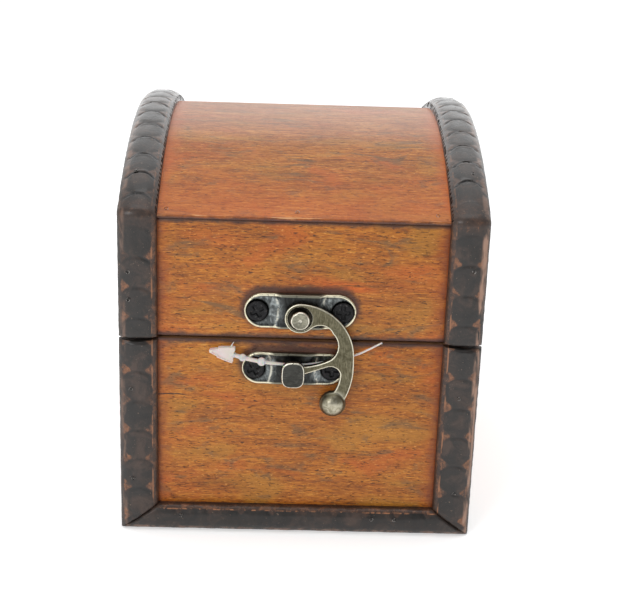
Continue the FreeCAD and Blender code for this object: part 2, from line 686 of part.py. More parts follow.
def latch_hook():
    """The cast hook: a ring on the rivet, a C-shaped arm, a prong that lies behind the catch
    post's head, and a tail that ends in a flattened ball.  Its outline starts from the pivot."""
    body = new_body("latch_hook")
    corners = [
        ("0", "3.9"),            # top of the ring
        ("13.9", "-10.7"),       # outermost point of the arm
        ("12.1", "-21.6"),       # outer side of the tail
        ("8", "-21.2"),          # inner side of the tail
        ("10.5", "-14.6"),       # corner under the prong
        ("7.4", "-12.9"),        # start of the prong's lower edge
        ("1.3", "-15.1"),        # lower side of the prong's tip
        ("0.9", "-13"),          # upper side of the prong's tip
        ("8", "-10.9"),          # lower end of the open C
        ("8.3", "-3.9"),         # upper end of the open C
        ("2.9", "-2.6"),         # where the arm leaves the ring
    ]
    bends = {0: ("14.2", -1), 1: ("22", -1), 3: ("9", 1), 4: ("2.6", 1), 7: ("18", 1),
             8: ("4.7", 1), 9: ("3.4", 1)}
    sketch = outline(body, "hook_outline", "XZ_Plane", corners, bends)
    sketch.setExpression("AttachmentOffset.Base.z", HOOK_BACK)
    pad(body, "hook_arm", sketch, "sizes.hook_thickness")
    ring = disc(body, "ring_outline", "XZ_Plane", "0", "0", "3.9")
    ring.setExpression("AttachmentOffset.Base.z", HOOK_BACK)
    pad(body, "hook_ring", ring, "sizes.hook_thickness")
    knob = disc(body, "knob_outline", "XZ_Plane", "8.9", "-23.1", "sizes.knob_radius")
    knob.setExpression("AttachmentOffset.Base.z", HOOK_BACK)
    pad(body, "hook_knob", knob, "sizes.knob_thickness")
    front_y = -value(f"{HOOK_BACK} + sizes.knob_thickness")
    round_edges(body, "knob_rounding", "sizes.knob_thickness * 0.5",
                lambda edge: all(abs(v.Y - front_y) < 1e-6 for v in edge.Vertexes))
    bore = disc(body, "bore_outline", "XZ_Plane", "0", "0", "sizes.rivet_radius + sizes.running_clearance")
    cut(body, "bore", bore, "20 * sizes.hook_thickness", both_ways=True)
    place(body, "sizes.latch_offset", f"-{HALF_DEPTH}", PIVOT_HEIGHT)


def tag_fastener():
    """The nylon fastener of a price tag, hung over the catch post's stem: a flat arrow-shaped
    head and two round beads on the left, and a filament that passes behind the hook and ends cut on
    the right.  Each place is right of the post, above it, and clear of the front board."""
    places = [(-21.4, 5.0, 1.7), (-15.1, 3.9, 1.7), (-12.8, 3.4, 2.2), (-8.0, 2.4, 2.2),
              (-3.1, 1.9, 2.2), (1.7, 2.1, 1.2), (15.6, 4.4, 1.2), (22.3, 8.0, 1.3)]
    post = FreeCAD.Vector(value("sizes.catch_offset"), -value(HALF_DEPTH), value(CATCH_HEIGHT))
    points = [post + FreeCAD.Vector(right, -clear, up) for right, up, clear in places]
    tip, neck = points[:2]
    ahead = (tip - neck).normalize()
    across = FreeCAD.Vector(-ahead.z, 0, ahead.x) * value("sizes.tag_head_half_width")
    thickness = value("sizes.tag_head_thickness")
    behind = FreeCAD.Vector(0, thickness / 2, 0)
    corners = [corner + behind for corner in (tip, neck + across, neck - across)]
    outline_wire = Part.makePolygon(corners + corners[:1])
    fastener = Part.Face(outline_wire).extrude(FreeCAD.Vector(0, -thickness, 0))
    radius = value("sizes.tag_radius")
    for start, end in zip(points[1:], points[2:]):
        fastener = fastener.fuse(Part.makeCylinder(radius, (end - start).Length, start, end - start))
    for bead in points[2:4]:
        disc_back = bead + FreeCAD.Vector(0, value("sizes.tag_bead_thickness") / 2, 0)
        fastener = fastener.fuse(Part.makeCylinder(
            value("sizes.tag_bead_radius"), value("sizes.tag_bead_thickness"), disc_back,
            FreeCAD.Vector(0, -1, 0)))
    feature = doc.addObject("Part::Feature", "tag_fastener")
    feature.Shape = fastener
    keep(feature, "tag_fastener")


def write_pieces():
    """Write every piece once it has been checked."""
    failed = [o.Name for o in doc.Objects if {"Invalid", "Error"} & set(o.State)]
    assert not failed, f"these did not build: {failed}"
    for piece in pieces:
        assert not piece.Shape.isNull() and piece.Shape.isValid(), piece.Label
    os.makedirs("parts", exist_ok=True)
    for piece in pieces:
        piece.Shape.exportStep(f"parts/{piece.Label}.step")
        print(f"{piece.Label:28s} {piece.Shape.Volume:10.2f} mm3")


base_boards()
lid_cross_board("lid_front_board", FRONT)
lid_cross_board("lid_back_board", BACK)
lid_end_board("lid_left_board", LEFT)
lid_end_board("lid_right_board", RIGHT)
lid_top_panel()
front_and_back_strips()
side_strips()
top_arch_strip("lid_left_arch_strip", LEFT)
top_arch_strip("lid_right_arch_strip", RIGHT)
hinges()
latch()
latch_hook()
brads()
tag_fastener()
doc.recompute()
write_pieces()
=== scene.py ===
import json
import math

import bmesh
import bpy
from mathutils import Matrix, Vector, noise


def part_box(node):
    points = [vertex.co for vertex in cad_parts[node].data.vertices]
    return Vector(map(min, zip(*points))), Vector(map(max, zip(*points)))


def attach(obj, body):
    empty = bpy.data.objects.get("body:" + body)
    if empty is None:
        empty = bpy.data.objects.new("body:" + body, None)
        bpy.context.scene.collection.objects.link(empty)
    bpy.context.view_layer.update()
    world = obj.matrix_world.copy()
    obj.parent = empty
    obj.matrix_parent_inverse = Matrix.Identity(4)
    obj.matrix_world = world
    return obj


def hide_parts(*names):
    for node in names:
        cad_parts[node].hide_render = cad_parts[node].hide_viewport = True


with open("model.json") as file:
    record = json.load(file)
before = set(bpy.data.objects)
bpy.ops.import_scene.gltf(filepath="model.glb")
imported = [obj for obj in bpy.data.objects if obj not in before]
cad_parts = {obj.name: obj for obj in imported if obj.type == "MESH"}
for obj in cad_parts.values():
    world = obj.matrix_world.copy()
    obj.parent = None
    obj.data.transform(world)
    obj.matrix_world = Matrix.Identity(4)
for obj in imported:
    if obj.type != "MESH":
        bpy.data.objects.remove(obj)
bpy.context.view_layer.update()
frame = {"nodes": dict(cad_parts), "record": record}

MM = 0.001                      # meshes are in metres, so a size in millimetres is multiplied by this

# ---------------------------------------------------------------- the case, read from the CAD
PANEL_LOW, PANEL_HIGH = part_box("lid_top_panel")
ARCH_LOW, ARCH_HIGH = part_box("lid_right_arch_strip")
INNER_HALF_WIDTH, INNER_HALF_DEPTH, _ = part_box("base_bottom_board")[1]

HALF_DEPTH = PANEL_HIGH.y
HALF_WIDTH = ARCH_HIGH.x
BOARD_HALF_WIDTH = PANEL_HIGH.x
STRIP_WIDTH = ARCH_HIGH.x - ARCH_LOW.x
PROUD = HALF_WIDTH - BOARD_HALF_WIDTH           # how far the strips stand out from the boards
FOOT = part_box("base_front_foot_strip")[1].z
SEAM = (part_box("lid_front_board")[0].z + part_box("base_front_board")[1].z) / 2

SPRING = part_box("lid_front_right_strip")[1].z   # where the vault springs from the uprights
CROWN = PANEL_HIGH.z
RISE = CROWN - SPRING
VAULT_RADIUS = (HALF_DEPTH ** 2 + RISE ** 2) / (2 * RISE)
VAULT_CENTRE = CROWN - VAULT_RADIUS
LEAN = math.asin(HALF_DEPTH / VAULT_RADIUS)
PANEL_THICKNESS = VAULT_RADIUS - math.hypot(HALF_DEPTH, PANEL_LOW.z - VAULT_CENTRE)

# ---------------------------------------------------------------- sizes of the detail
PLATE_THICKNESS = 0.8 * MM
LATCH_HUMP = 0.78 * MM          # how far the middle of each plate is pressed out
CATCH_HUMP = 0.35 * MM
KNOB_RADIUS = 3.4 * MM
KNOB_REACH = 8.9 * MM           # the knob stands this far right of the rivet
DISC_RADIUS = 3.85 * MM
LID_PITCH = 7.95 * MM           # from disc to disc
BASE_PITCH = 8.2 * MM
UPRIGHT_PHASE = -0.7 * MM       # how far the discs are shifted along the strip
DISC_PILLOW = 0.14 * MM         # how far the middle of a fully pressed disc swells
CREASE_DEPTH = 0.60 * MM
LIP_HEIGHT = 0.20 * MM
GROUND_DEPTH = 0.10 * MM        # the ground between the discs
FULL_PRESS, END_ARCH_PRESS, END_PRESS, UPRIGHT_PRESS, FOOT_PRESS = 1.0, 0.5, 0.30, 0.22, 0.12
EDGE_HEIGHT = 0.95 * MM         # the square wall below the strips' dome
DOME_POWER = 2.1
SLACK = 0.12 * MM               # the strips stay this far inside their CAD outlines
KERF_PITCH = 1.6 * MM
KERF_WIDTH = 0.55 * MM
KERF_REACH = 0.45 * MM          # how far the saw cuts reach in from the inner edge


def middle_of(node):
    low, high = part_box(node)
    return (low + high) / 2


def hook_knob():
    """The middle of the hook's ball, level with the hook's back."""
    low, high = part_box("latch_hook")
    return Vector((middle_of("latch_rivet").x + KNOB_REACH, high.y, low.z + KNOB_RADIUS))


# ================================================================ materials
class Channel:
    """A node's output, which can be added to and multiplied by numbers and other outputs."""

    def __init__(self, shader, socket):
        self.shader = shader
        self.socket = socket

    def __add__(self, other):
        return self.shader.math("ADD", self, other)

    def __sub__(self, other):
        return self.shader.math("SUBTRACT", self, other)

    def __mul__(self, other):
        return self.shader.math("MULTIPLY", self, other)

    def __abs__(self):
        return self.shader.math("ABSOLUTE", self)


class Shader:
    """Adds and joins the nodes of one material; lengths are in millimetres."""

    def __init__(self, name):
        self.material = bpy.data.materials.new(name)
        self.material.use_nodes = True
        self.tree = self.material.node_tree
        self.surface = self.tree.nodes["Principled BSDF"]
        self.coordinates = self.node("ShaderNodeTexCoord").outputs

    def node(self, kind, **settings):
        made = self.tree.nodes.new(kind)
        for key, setting in settings.items():
            setattr(made, key, setting)
        return made

    def feed(self, socket, source):
        if isinstance(source, Channel):
            self.tree.links.new(source.socket, socket)
        elif isinstance(source, (tuple, list)) and len(source) == 3 and socket.type == "RGBA":
            socket.default_value = (*source, 1)
        else:
            socket.default_value = source

    def math(self, operation, a, b=0.0, clamp=False):
        made = self.node("ShaderNodeMath", operation=operation, use_clamp=clamp)
        self.feed(made.inputs[0], a)
        self.feed(made.inputs[1], b)
        return Channel(self, made.outputs[0])

    def greater(self, a, b):
        return self.math("MAXIMUM", a, b)

    def distance(self, across, up):
        return self.math("SQRT", across * across + up * up)

    def split(self, source, letter):
        """One number of a vector."""
        made = self.node("ShaderNodeSeparateXYZ")
        self.tree.links.new(source, made.inputs[0])
        return Channel(self, made.outputs["XYZ".index(letter)])

    def axis(self, letter):
        """One coordinate, in millimetres."""
        return self.split(self.coordinates["Object"], letter) * 1000

    def facing(self, letter):
        """1 where the surface faces along an axis and 0 where it is side on."""
        return abs(self.split(self.coordinates["Normal"], letter))

    def mark(self, letter):
        """One of the four numbers, R, G, B or A, that paint_marks keeps in a mesh."""
        source = self.node("ShaderNodeAttribute", attribute_name="mark")
        if letter == "A":
            return Channel(self, source.outputs["Alpha"])
        made = self.node("ShaderNodeSeparateColor")
        self.tree.links.new(source.outputs["Color"], made.inputs[0])
        return Channel(self, made.outputs["RGB".index(letter)])

    def noise(self, lengths, detail=3, roughness=0.55, distortion=0.0, offset=(0, 0, 0)):
        """Noise with a length in mm along each axis."""
        place = self.node("ShaderNodeMapping")
        place.inputs["Scale"].default_value = [1000 / length for length in lengths]
        place.inputs["Location"].default_value = offset
        self.tree.links.new(self.coordinates["Object"], place.inputs["Vector"])
        made = self.node("ShaderNodeTexNoise")
        self.tree.links.new(place.outputs[0], made.inputs["Vector"])
        settings = {"Scale": 1, "Detail": detail, "Roughness": roughness, "Distortion": distortion}
        for socket, setting in settings.items():
            made.inputs[socket].default_value = setting
        return Channel(self, made.outputs[0])

    def between(self, source, low, high, start=0.0, end=1.0):
        """Ramps smoothly from start to end as the source goes from low to high."""
        made = self.node("ShaderNodeMapRange", interpolation_type="SMOOTHSTEP")
        for socket, setting in zip(made.inputs, (source, low, high, start, end)):
            self.feed(socket, setting)
        return Channel(self, made.outputs[0])

    def colours(self, source, stops):
        made = self.node("ShaderNodeValToRGB")
        self.feed(made.inputs[0], source)
        ramp = made.color_ramp
        while len(ramp.elements) < len(stops):
            ramp.elements.new(0.5)
        for element, (position, colour) in zip(ramp.elements, stops):
            element.position = position
            element.color = (*colour, 1)
        return Channel(self, made.outputs[0])

    def mix(self, factor, first, second):
        made = self.node("ShaderNodeMix", data_type="RGBA")
        self.feed(made.inputs[0], factor)
        self.feed(made.inputs[6], first)
        self.feed(made.inputs[7], second)
        return Channel(self, made.outputs[2])

    def set(self, **sockets):
        for name, source in sockets.items():
            self.feed(self.surface.inputs[name.replace("_", " ")], source)

    def bump(self, height, distance_mm, strength):
        made = self.node("ShaderNodeBump")
        made.inputs["Strength"].default_value = strength
        made.inputs["Distance"].default_value = distance_mm * MM
        self.feed(made.inputs["Height"], height)
        self.tree.links.new(made.outputs[0], self.surface.inputs["Normal"])


def cube(length):
    return (length, length, length)


def swapped(lengths, along):
    """Lengths given along and across the grain, put on the axes."""
    long, cross = lengths
    return (long, cross, cross) if along == "X" else (cross, long, cross)


def grain(wood, along):
    """Fine broken grain with dark and pale flecks and greyish smudges: its colour, its tone from
    dark to pale, its streaks and fibres, and the height of its surface."""
    broad = wood.noise(swapped((30, 8), along), 3, 0.6, 0.8)
    streak = wood.noise(swapped((14, 0.9), along), 4, 0.7, 0.3, (3, 5, 7))
    fibre = wood.noise(swapped((2.6, 0.30), along), 3, 0.7, 0.2, (11, 2, 5))
    tone = streak * 0.40 + fibre * 0.55 + broad * 0.25
    colour = wood.colours(tone, [
        (0.44, (0.110, 0.030, 0.006)),
        (0.54, (0.280, 0.078, 0.006)),
        (0.62, (0.430, 0.130, 0.009)),
        (0.70, (0.560, 0.205, 0.018)),
        (0.80, (0.710, 0.340, 0.065)),
    ])
    hue = wood.noise(swapped((22, 9), along), 3, 0.5, 0.6, (9, 1, 4))
    smudge = wood.noise(swapped((13, 4), along), 4, 0.62, 1.2, (1, 8, 2))
    pores = wood.between(wood.noise(swapped((1.5, 0.26), along), 2, 0.5, 0.0, (5, 5, 1)), 0.62, 0.69)
    knots = wood.between(wood.noise(swapped((1.6, 0.8), along), 3, 0.6, 0.5, (8, 2, 9)), 0.68, 0.74)
    glints = wood.between(wood.noise(swapped((1.2, 0.28), along), 2, 0.5, 0.0, (2, 9, 6)), 0.62, 0.70)
    for mask, stain in (
        (wood.between(hue, 0.52, 0.70, 0, 0.60), (0.50, 0.105, 0.010)),
        (wood.between(hue, 0.50, 0.34, 0, 0.55), (0.42, 0.185, 0.020)),
        (wood.between(smudge, 0.52, 0.68, 0, 0.72), (0.155, 0.085, 0.034)),
        (pores * 0.85, (0.055, 0.020, 0.010)),
        (knots * 0.70, (0.060, 0.030, 0.020)),
        (glints * 0.50, (0.76, 0.36, 0.080)),
    ):
        colour = wood.mix(mask, colour, stain)
    relief = fibre + streak * 0.7 - (pores + knots)
    return colour, tone, streak, fibre, relief


def vault_stains(wood, colour, height, ragged, near_strip, streak):
    """Redder stain low down and near the strips, a pale painted sheen along the crown, and a painted
    highlight on the rounded edge at the spring."""
    crown = CROWN / MM
    low_down = wood.between(height + ragged, crown - 2, crown - 10)
    stain = wood.greater(near_strip, low_down * 0.65)
    colour = wood.mix(stain * 0.66, colour, (0.60, 0.115, 0.010))
    # painted sheen: paler towards the crown
    colour = wood.mix(wood.between(height, crown - 3.5, crown + 0.5, 0, 0.34), colour, (0.72, 0.50, 0.42))
    colour = painted_seam_shade(wood, colour, height, ragged, PANEL_LOW.z / MM + 0.1)
    edge = height - SPRING / MM
    # painted highlight: a thin broken bright line along the rounded edge at the spring
    bright = wood.between(edge, -0.45, -0.2) * wood.between(edge, 0.25, 0.0)
    bright = bright * wood.between(streak, 0.54, 0.60)
    return wood.mix(bright * 0.7, colour, (0.80, 0.46, 0.22))


def flat_board_stains(wood, colour, height, ragged, near_strip, beside_strip, streak):
    """Stain that darkens towards the strips, a crack at the left, a red run of stain above the
    hook's plate, and a painted shadow round both plates."""
    colour = wood.mix(near_strip * 0.50, colour, (0.50, 0.095, 0.008))
    colour = wood.mix(beside_strip * 0.60, colour, (0.13, 0.030, 0.016))
    colour = painted_seam_shade(wood, colour, height, ragged, PANEL_LOW.z / MM)
    place = wood.axis("X")
    crack_height = 38.9
    wander = wood.noise(cube(9), 2, 0.5, 0.0, (4, 0, 4)) * 1.6
    crack = wood.between(abs(height + wander - crack_height), 0.22, 0.06) * wood.between(place, -28, -30)
    colour = wood.mix(crack * 0.9, colour, (0.030, 0.012, 0.008))
    run = wood.between(height, 66.5, 67.5) * wood.between(height, 71.0, 68.5)
    run = run * wood.between(place, 0.0, 6.0) * wood.between(place, 24.0, 12.0)
    run = run * wood.between(streak, 0.40, 0.55)
    colour = wood.mix(run * 0.75, colour, (0.62, 0.110, 0.006))
    # painted shadow round both latch plates
    return wood.mix(painted_latch_shadow(wood, height) * 0.92, colour, (0.050, 0.014, 0.008))


def painted_seam_shade(wood, colour, height, ragged, joint):
    """Painted shade: dark lines along the joint under the vault and along the seam of the lid."""
    for level, reach in ((joint, 0.7), (SEAM / MM, 1.3)):
        line = wood.between(abs(height - level) + ragged * 0.28, reach + 1.4, reach + 0.2)
        colour = wood.mix(line * 0.90, colour, (0.040, 0.018, 0.016))
    return colour


def painted_latch_shadow(wood, height):
    """A painted shadow: a soft dark band just outside each latch plate, wider above it than below."""
    bands = []
    for node in ("latch_plate", "catch_plate"):
        low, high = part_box(node)
        middle = (low + high) / 2 / MM
        radius = (high.z - low.z) / 2 / MM
        straight = (high.x - low.x) / 2 / MM - radius
        over = wood.greater(abs(wood.axis("X") - middle.x) - straight, 0.0)
        reach = wood.distance(over, height - (middle.z + 0.9))
        reach = reach + wood.noise(cube(2), 3, 0.6, 0.0, (6, 6, 6)) * 1.6
        bands.append(wood.between(reach, radius + 2.8, radius + 0.9))
    front = wood.between(wood.axis("Y"), -HALF_DEPTH / MM + 0.5, -HALF_DEPTH / MM + 0.2)
    return wood.greater(*bands) * front


def inside_box(wood, height, upper):
    """1 on the faces that the closed lid hides and 0 outside."""
    width, depth = abs(wood.axis("X")), abs(wood.axis("Y"))
    inner_width, inner_depth = INNER_HALF_WIDTH / MM, INNER_HALF_DEPTH / MM
    inside = wood.between(width, inner_width + 0.2, inner_width - 0.1)
    inside = inside * wood.between(depth, inner_depth + 0.2, inner_depth - 0.1)
    if upper:
        half_through = (VAULT_RADIUS - PANEL_THICKNESS / 2) / MM
        reach = wood.distance(depth, height - VAULT_CENTRE / MM)
        inside = inside * wood.between(reach, half_through + 0.1, half_through - 0.1)
    return inside


def panel_wood(name, along, upper=False):
    """Orange-brown stained softwood, bare and pale inside the box, with its grain along an axis;
    upper is the thin board bent over the vault."""
    wood = Shader(name)
    colour, tone, streak, fibre, relief = grain(wood, along)
    height = wood.axis("Z")
    ragged = wood.noise(cube(4), 4, 0.65) * 6
    strip_edge = ((HALF_WIDTH if along == "X" else HALF_DEPTH) - STRIP_WIDTH) / MM
    outwards = abs(wood.axis(along)) + ragged
    near_strip = wood.between(outwards, strip_edge - 2, strip_edge + 4)
    if upper:
        colour = vault_stains(wood, colour, height, ragged, near_strip, streak)
    else:
        beside_strip = wood.between(outwards, strip_edge + 0.5, strip_edge + 3.5)
        colour = flat_board_stains(wood, colour, height, ragged, near_strip, beside_strip, streak)
    inside = inside_box(wood, height, upper)
    colour = wood.mix(inside, colour, wood.colours(tone, [
        (0.42, (0.30, 0.185, 0.095)),
        (0.60, (0.50, 0.335, 0.180)),
        (0.76, (0.62, 0.44, 0.26)),
    ]))
    if not upper:
        sawn = wood.between(wood.facing("Z"), 0.85, 0.97) * 0.85
        sawn_colour = wood.mix(fibre, (0.17, 0.075, 0.028), (0.42, 0.23, 0.11))
        colour = wood.mix(sawn, colour, sawn_colour)
    gloss = wood.between(tone, 0.48, 0.75, 0.52, 0.38)
    wood.set(Base_Color=colour, Roughness=wood.mix(inside, gloss, cube(0.75)))
    wood.set(Coat_Weight=0.30 if upper else 0.16, Coat_Roughness=0.26, Specular_IOR_Level=0.38)
    wood.bump(relief, 0.16, 0.7)
    return wood.material


def strip_wood(name, wear, ledge):
    """Moulding stained brown-black, glossiest along the top of the lid.  The stamped discs are
    darkest; between them and along the shoulders the stain is rubbed through to orange.  The mesh
    marks the gap between discs, and over a knuckle a lighter brown that is partly rubbed stain and
    partly a painted highlight; the place across, from the outer edge (0) to the inner one (1);
    creases and saw cuts (above 0), painted dark as shade, or the lip beside a crease (below 0),
    painted pale as a highlight; and how pale the outer shoulder is, partly from wear and partly a
    painted sheen.  wear is how orange the gaps are, and ledge how worn the inner edge is."""
    wood = Shader(name)
    gap, across, crease, shoulder_wear_and_sheen = (wood.mark(letter) for letter in "RGBA")
    mottle = wood.noise(cube(5), 5, 0.62, 0.6)
    fine = wood.noise(cube(0.8), 4, 0.65, 0.3, (4, 4, 4))
    rub = wood.noise((2.2, 2.2, 2.8), 5, 0.68, 0.5, (7, 3, 1))
    height = wood.axis("Z")
    crown = CROWN / MM
    colour = wood.colours(mottle, [
        (0.34, (0.009, 0.0078, 0.0070)),
        (0.50, (0.021, 0.0160, 0.0135)),
        (0.66, (0.060, 0.038, 0.029)),
    ])
    brown = wood.colours(fine, [(0.35, (0.034, 0.019, 0.013)), (0.65, (0.085, 0.043, 0.028))])
    orange = wood.colours(fine, [(0.32, (0.09, 0.040, 0.020)), (0.66, (0.27, 0.110, 0.048))])
    colour = wood.mix(wood.between(gap + rub * 0.5, 0.35, 0.95) * 0.5, colour, brown)
    colour = wood.mix(wood.between(gap * 0.7 + rub * 2.2, 1.55, 1.95) * wear, colour, orange)

    inner_tone = wood.mix(wood.between(rub, 0.46, 0.64), brown, orange)
    colour = wood.mix(wood.between(across, 0.86, 0.895) * ledge, colour, inner_tone)
    worn_line = wood.between(across, 0.84, 0.865) * wood.between(across, 0.895, 0.87)
    worn_line = worn_line * wood.between(wood.noise((2, 2, 7), 4, 0.6, 0.3, (2, 2, 9)), 0.48, 0.60)
    colour = wood.mix(worn_line * ledge, colour, (0.42, 0.18, 0.080))
    # painted shade: the inner wall and foot of the strip, in the corner against the board, darkened
    foot_shade = wood.between(across, 0.965, 0.99)
    colour = wood.mix(foot_shade * 0.6, colour, (0.016, 0.009, 0.008))

    # the pale outer shoulder: partly worn stain, partly a painted sheen
    shoulder = wood.between(across, 0.24, 0.16) * wood.between(across, 0.03, 0.09)
    shoulder = shoulder * wood.between(wood.noise((3, 3, 11), 4, 0.6, 0.4, (1, 6, 8)), 0.40, 0.62)
    shoulder = wood.math("MULTIPLY", shoulder * shoulder_wear_and_sheen, 0.85, clamp=True)
    colour = wood.mix(shoulder, colour, (0.36, 0.21, 0.145))
    speck = wood.between(wood.noise(cube(0.6), 3, 0.6, 0.0, (9, 9, 9)), 0.66, 0.72)
    colour = wood.mix(speck * 0.35, colour, (0.40, 0.27, 0.18))
    # painted highlight: the lip below each crease is paler, and more so towards the crown
    lip = wood.math("MULTIPLY", crease, wood.between(height, crown - 12, crown - 3, -0.5, -1.0), clamp=True)
    colour = wood.mix(lip, colour, (0.46, 0.43, 0.41))
    # painted shade: the creases and saw cuts are darkened
    colour = wood.mix(wood.math("MULTIPLY", crease, 1.7, clamp=True), colour, (0.003, 0.0025, 0.0025))

    rough = wood.between(mottle, 0.35, 0.65, -0.05, 0.08)
    rough = rough + wood.between(height, crown - 12, crown - 1, 0.50, 0.34)
    wood.set(Base_Color=colour, Roughness=rough)
    wood.set(Coat_Weight=wood.between(height, crown - 12, crown - 1, 0.25, 1.0))
    wood.set(Coat_Roughness=0.20, Specular_IOR_Level=0.42)
    wood.bump(fine + mottle * 2.0, 0.16, 0.6)
    return wood.material


def antique_bronze(name, face, rim, dark, patina, brushing):
    """Plated hardware: a dull face with dark patina, bright rubbed rims, and sides painted dark as shade."""
    metal = Shader(name)
    flatness = metal.facing("Y")
    rub = metal.noise(cube(1.3), 4, 0.62, 0.5)
    blotch = metal.noise((2.4, 2.4, 3.2), 3, 0.55, 1.4, (5, 1, 3))
    brushed = metal.noise((1.4, 1.4, 0.22), 3, 0.6, 0.8, (3, 3, 3))
    deep = [share * (1 - patina) for share in face]
    colour = metal.mix(metal.between(blotch, 0.38, 0.62), deep, face)
    colour = metal.mix(metal.between(brushed, 0.45, 0.75, 0, brushing), colour, rim)
    on_rim = metal.between(flatness, 0.985, 0.90) * metal.between(flatness, 0.15, 0.45)
    on_rim = on_rim * metal.between(rub, 0.30, 0.50, 0.45, 1.0)
    colour = metal.mix(on_rim, colour, rim)
    # painted shade: faces turned side-on are darkened
    colour = metal.mix(metal.between(flatness, 0.40, 0.08), colour, dark)
    rough = metal.between(rub, 0.3, 0.7, 0.30, 0.46) + on_rim * -0.08
    metal.set(Base_Color=colour, Metallic=1.0, Roughness=rough)
    metal.bump(rub + brushed * (brushing * 3), 0.06, 0.4)
    return metal.material


def hook_metal(name):
    """The cast hook: brushed olive face, rims rubbed bright, sides painted dark as shade, a ball
    painted bright in its middle and dark at its edge as highlight and shade, with tarnished
    blotches, and a recess round the rivet painted dark as shade.
    """
    metal = Shader(name)

    def distance_from(spot):
        return metal.distance(metal.axis("X") - spot.x / MM, metal.axis("Z") - spot.z / MM)

    flatness = metal.facing("Y")
    rub = metal.noise(cube(1.3), 4, 0.62, 0.5)
    brushed = metal.noise((0.22, 1.0, 1.6), 3, 0.6, 0.5, (3, 3, 3))
    colour = metal.mix(metal.between(rub, 0.32, 0.68), (0.066, 0.060, 0.036), (0.145, 0.133, 0.086))
    colour = metal.mix(metal.between(brushed, 0.46, 0.72, 0, 0.35), colour, (0.36, 0.33, 0.23))
    on_rim = metal.between(flatness, 0.999, 0.955) * metal.between(flatness, 0.25, 0.55)
    on_rim = on_rim * metal.between(rub, 0.28, 0.46, 0.55, 1.0)
    colour = metal.mix(on_rim, colour, (0.80, 0.77, 0.62))
    # painted shade: faces turned side-on are darkened
    colour = metal.mix(metal.between(flatness, 0.40, 0.12), colour, (0.060, 0.050, 0.032))
    # painted shade in the recess round the rivet
    recess = metal.between(distance_from(middle_of("latch_rivet")), 3.25, 2.95)
    colour = metal.mix(recess * 0.9, colour, (0.030, 0.026, 0.020))
    ball = metal.between(distance_from(hook_knob()), 4.6, 2.7)
    # painted highlight in the ball's middle and painted shade at its edge, with tarnished blotches
    ball_sheen_and_tarnish = metal.mix(metal.between(flatness, 0.50, 0.96), (0.070, 0.060, 0.030), (0.46, 0.43, 0.33))
    ball_sheen_and_tarnish = metal.mix(metal.between(rub, 0.42, 0.60, 0, 0.6), ball_sheen_and_tarnish, (0.14, 0.125, 0.075))
    colour = metal.mix(ball * metal.between(flatness, 0.15, 0.45), colour, ball_sheen_and_tarnish)
    metal.set(Base_Color=colour, Metallic=1.0, Roughness=metal.between(rub, 0.3, 0.7, 0.30, 0.48))
    metal.bump(rub + brushed, 0.06, 0.45)
    return metal.material


def pressed_plate_metal(name):
    """Antique plate: steel-grey lobes with dark patina, a pale rubbed rim, and creases painted pale as a
    highlight.  The mesh marks the rim; the dark middle, screw hollows and edge, partly patina and
    partly painted shade under the hook's ring and the post; and the crease lines."""
    metal = Shader(name)
    rim, shade, crease = (metal.mark(letter) for letter in "RGB")
    blotch = metal.noise((1.7, 1.7, 2.6), 4, 0.6, 1.2, (5, 1, 3))
    brushed = metal.noise((0.5, 0.5, 2.2), 3, 0.6, 0.6, (3, 3, 3))
    rub = metal.noise(cube(1.1), 4, 0.62, 0.5)
    colour = metal.colours(blotch, [
        (0.36, (0.040, 0.044, 0.045)),
        (0.50, (0.110, 0.120, 0.120)),
        (0.64, (0.260, 0.285, 0.285)),
    ])
    colour = metal.mix(metal.between(brushed, 0.54, 0.74, 0, 0.30), colour, (0.58, 0.62, 0.60))
    # painted shade and patina: darker over the middle, round the screws and near the edge
    colour = metal.mix(shade * 0.90, colour, (0.020, 0.020, 0.019))
    # painted highlight along the crease lines
    bright = crease * metal.between(rub, 0.40, 0.55)
    colour = metal.mix(bright * 0.8, colour, (0.80, 0.78, 0.66))
    colour = metal.mix(rim * metal.between(rub, 0.32, 0.46, 0.45, 1.0), colour, (0.86, 0.82, 0.62))
    metal.set(Base_Color=colour, Metallic=1.0, Roughness=metal.between(rub, 0.3, 0.7, 0.30, 0.46))
    metal.bump(blotch + brushed, 0.09, 0.5)
    return metal.material


def black_screw(name):
    """Blackened steel with a little bare metal where a driver has rubbed it."""
    metal = Shader(name)
    worn = metal.noise(cube(0.7), 4, 0.6, 0.3)
    colour = metal.mix(metal.between(worn, 0.56, 0.76), (0.011, 0.011, 0.012), (0.13, 0.125, 0.12))
    metal.set(Base_Color=colour, Metallic=0.6, Roughness=metal.between(worn, 0.3, 0.7, 0.42, 0.6))
    metal.bump(worn, 0.12, 0.8)
    return metal.material


def brad_steel(name):
    """Dull brad heads in dark filler."""
    metal = Shader(name)
    grime = metal.noise(cube(0.35), 3, 0.6)
    colour = metal.mix(metal.between(grime, 0.45, 0.60), (0.012, 0.010, 0.010), (0.35, 0.33, 0.31))
    metal.set(Base_Color=colour, Metallic=0.7, Roughness=0.45)
    metal.bump(grime, 0.05, 0.6)
    return metal.material


def moulded_nylon(name):
    """Milky, faintly pink nylon."""
    plastic = Shader(name)
    cloud = plastic.noise(cube(1.5), 3, 0.5)
    colour = plastic.mix(cloud, (0.86, 0.70, 0.66), (0.95, 0.86, 0.82))
    plastic.set(Base_Color=colour, Roughness=plastic.between(cloud, 0.3, 0.7, 0.28, 0.42))
    plastic.set(Subsurface_Weight=0.35, Subsurface_Scale=0.002, Transmission_Weight=0.25)
    plastic.bump(cloud, 0.04, 0.3)
    return plastic.material


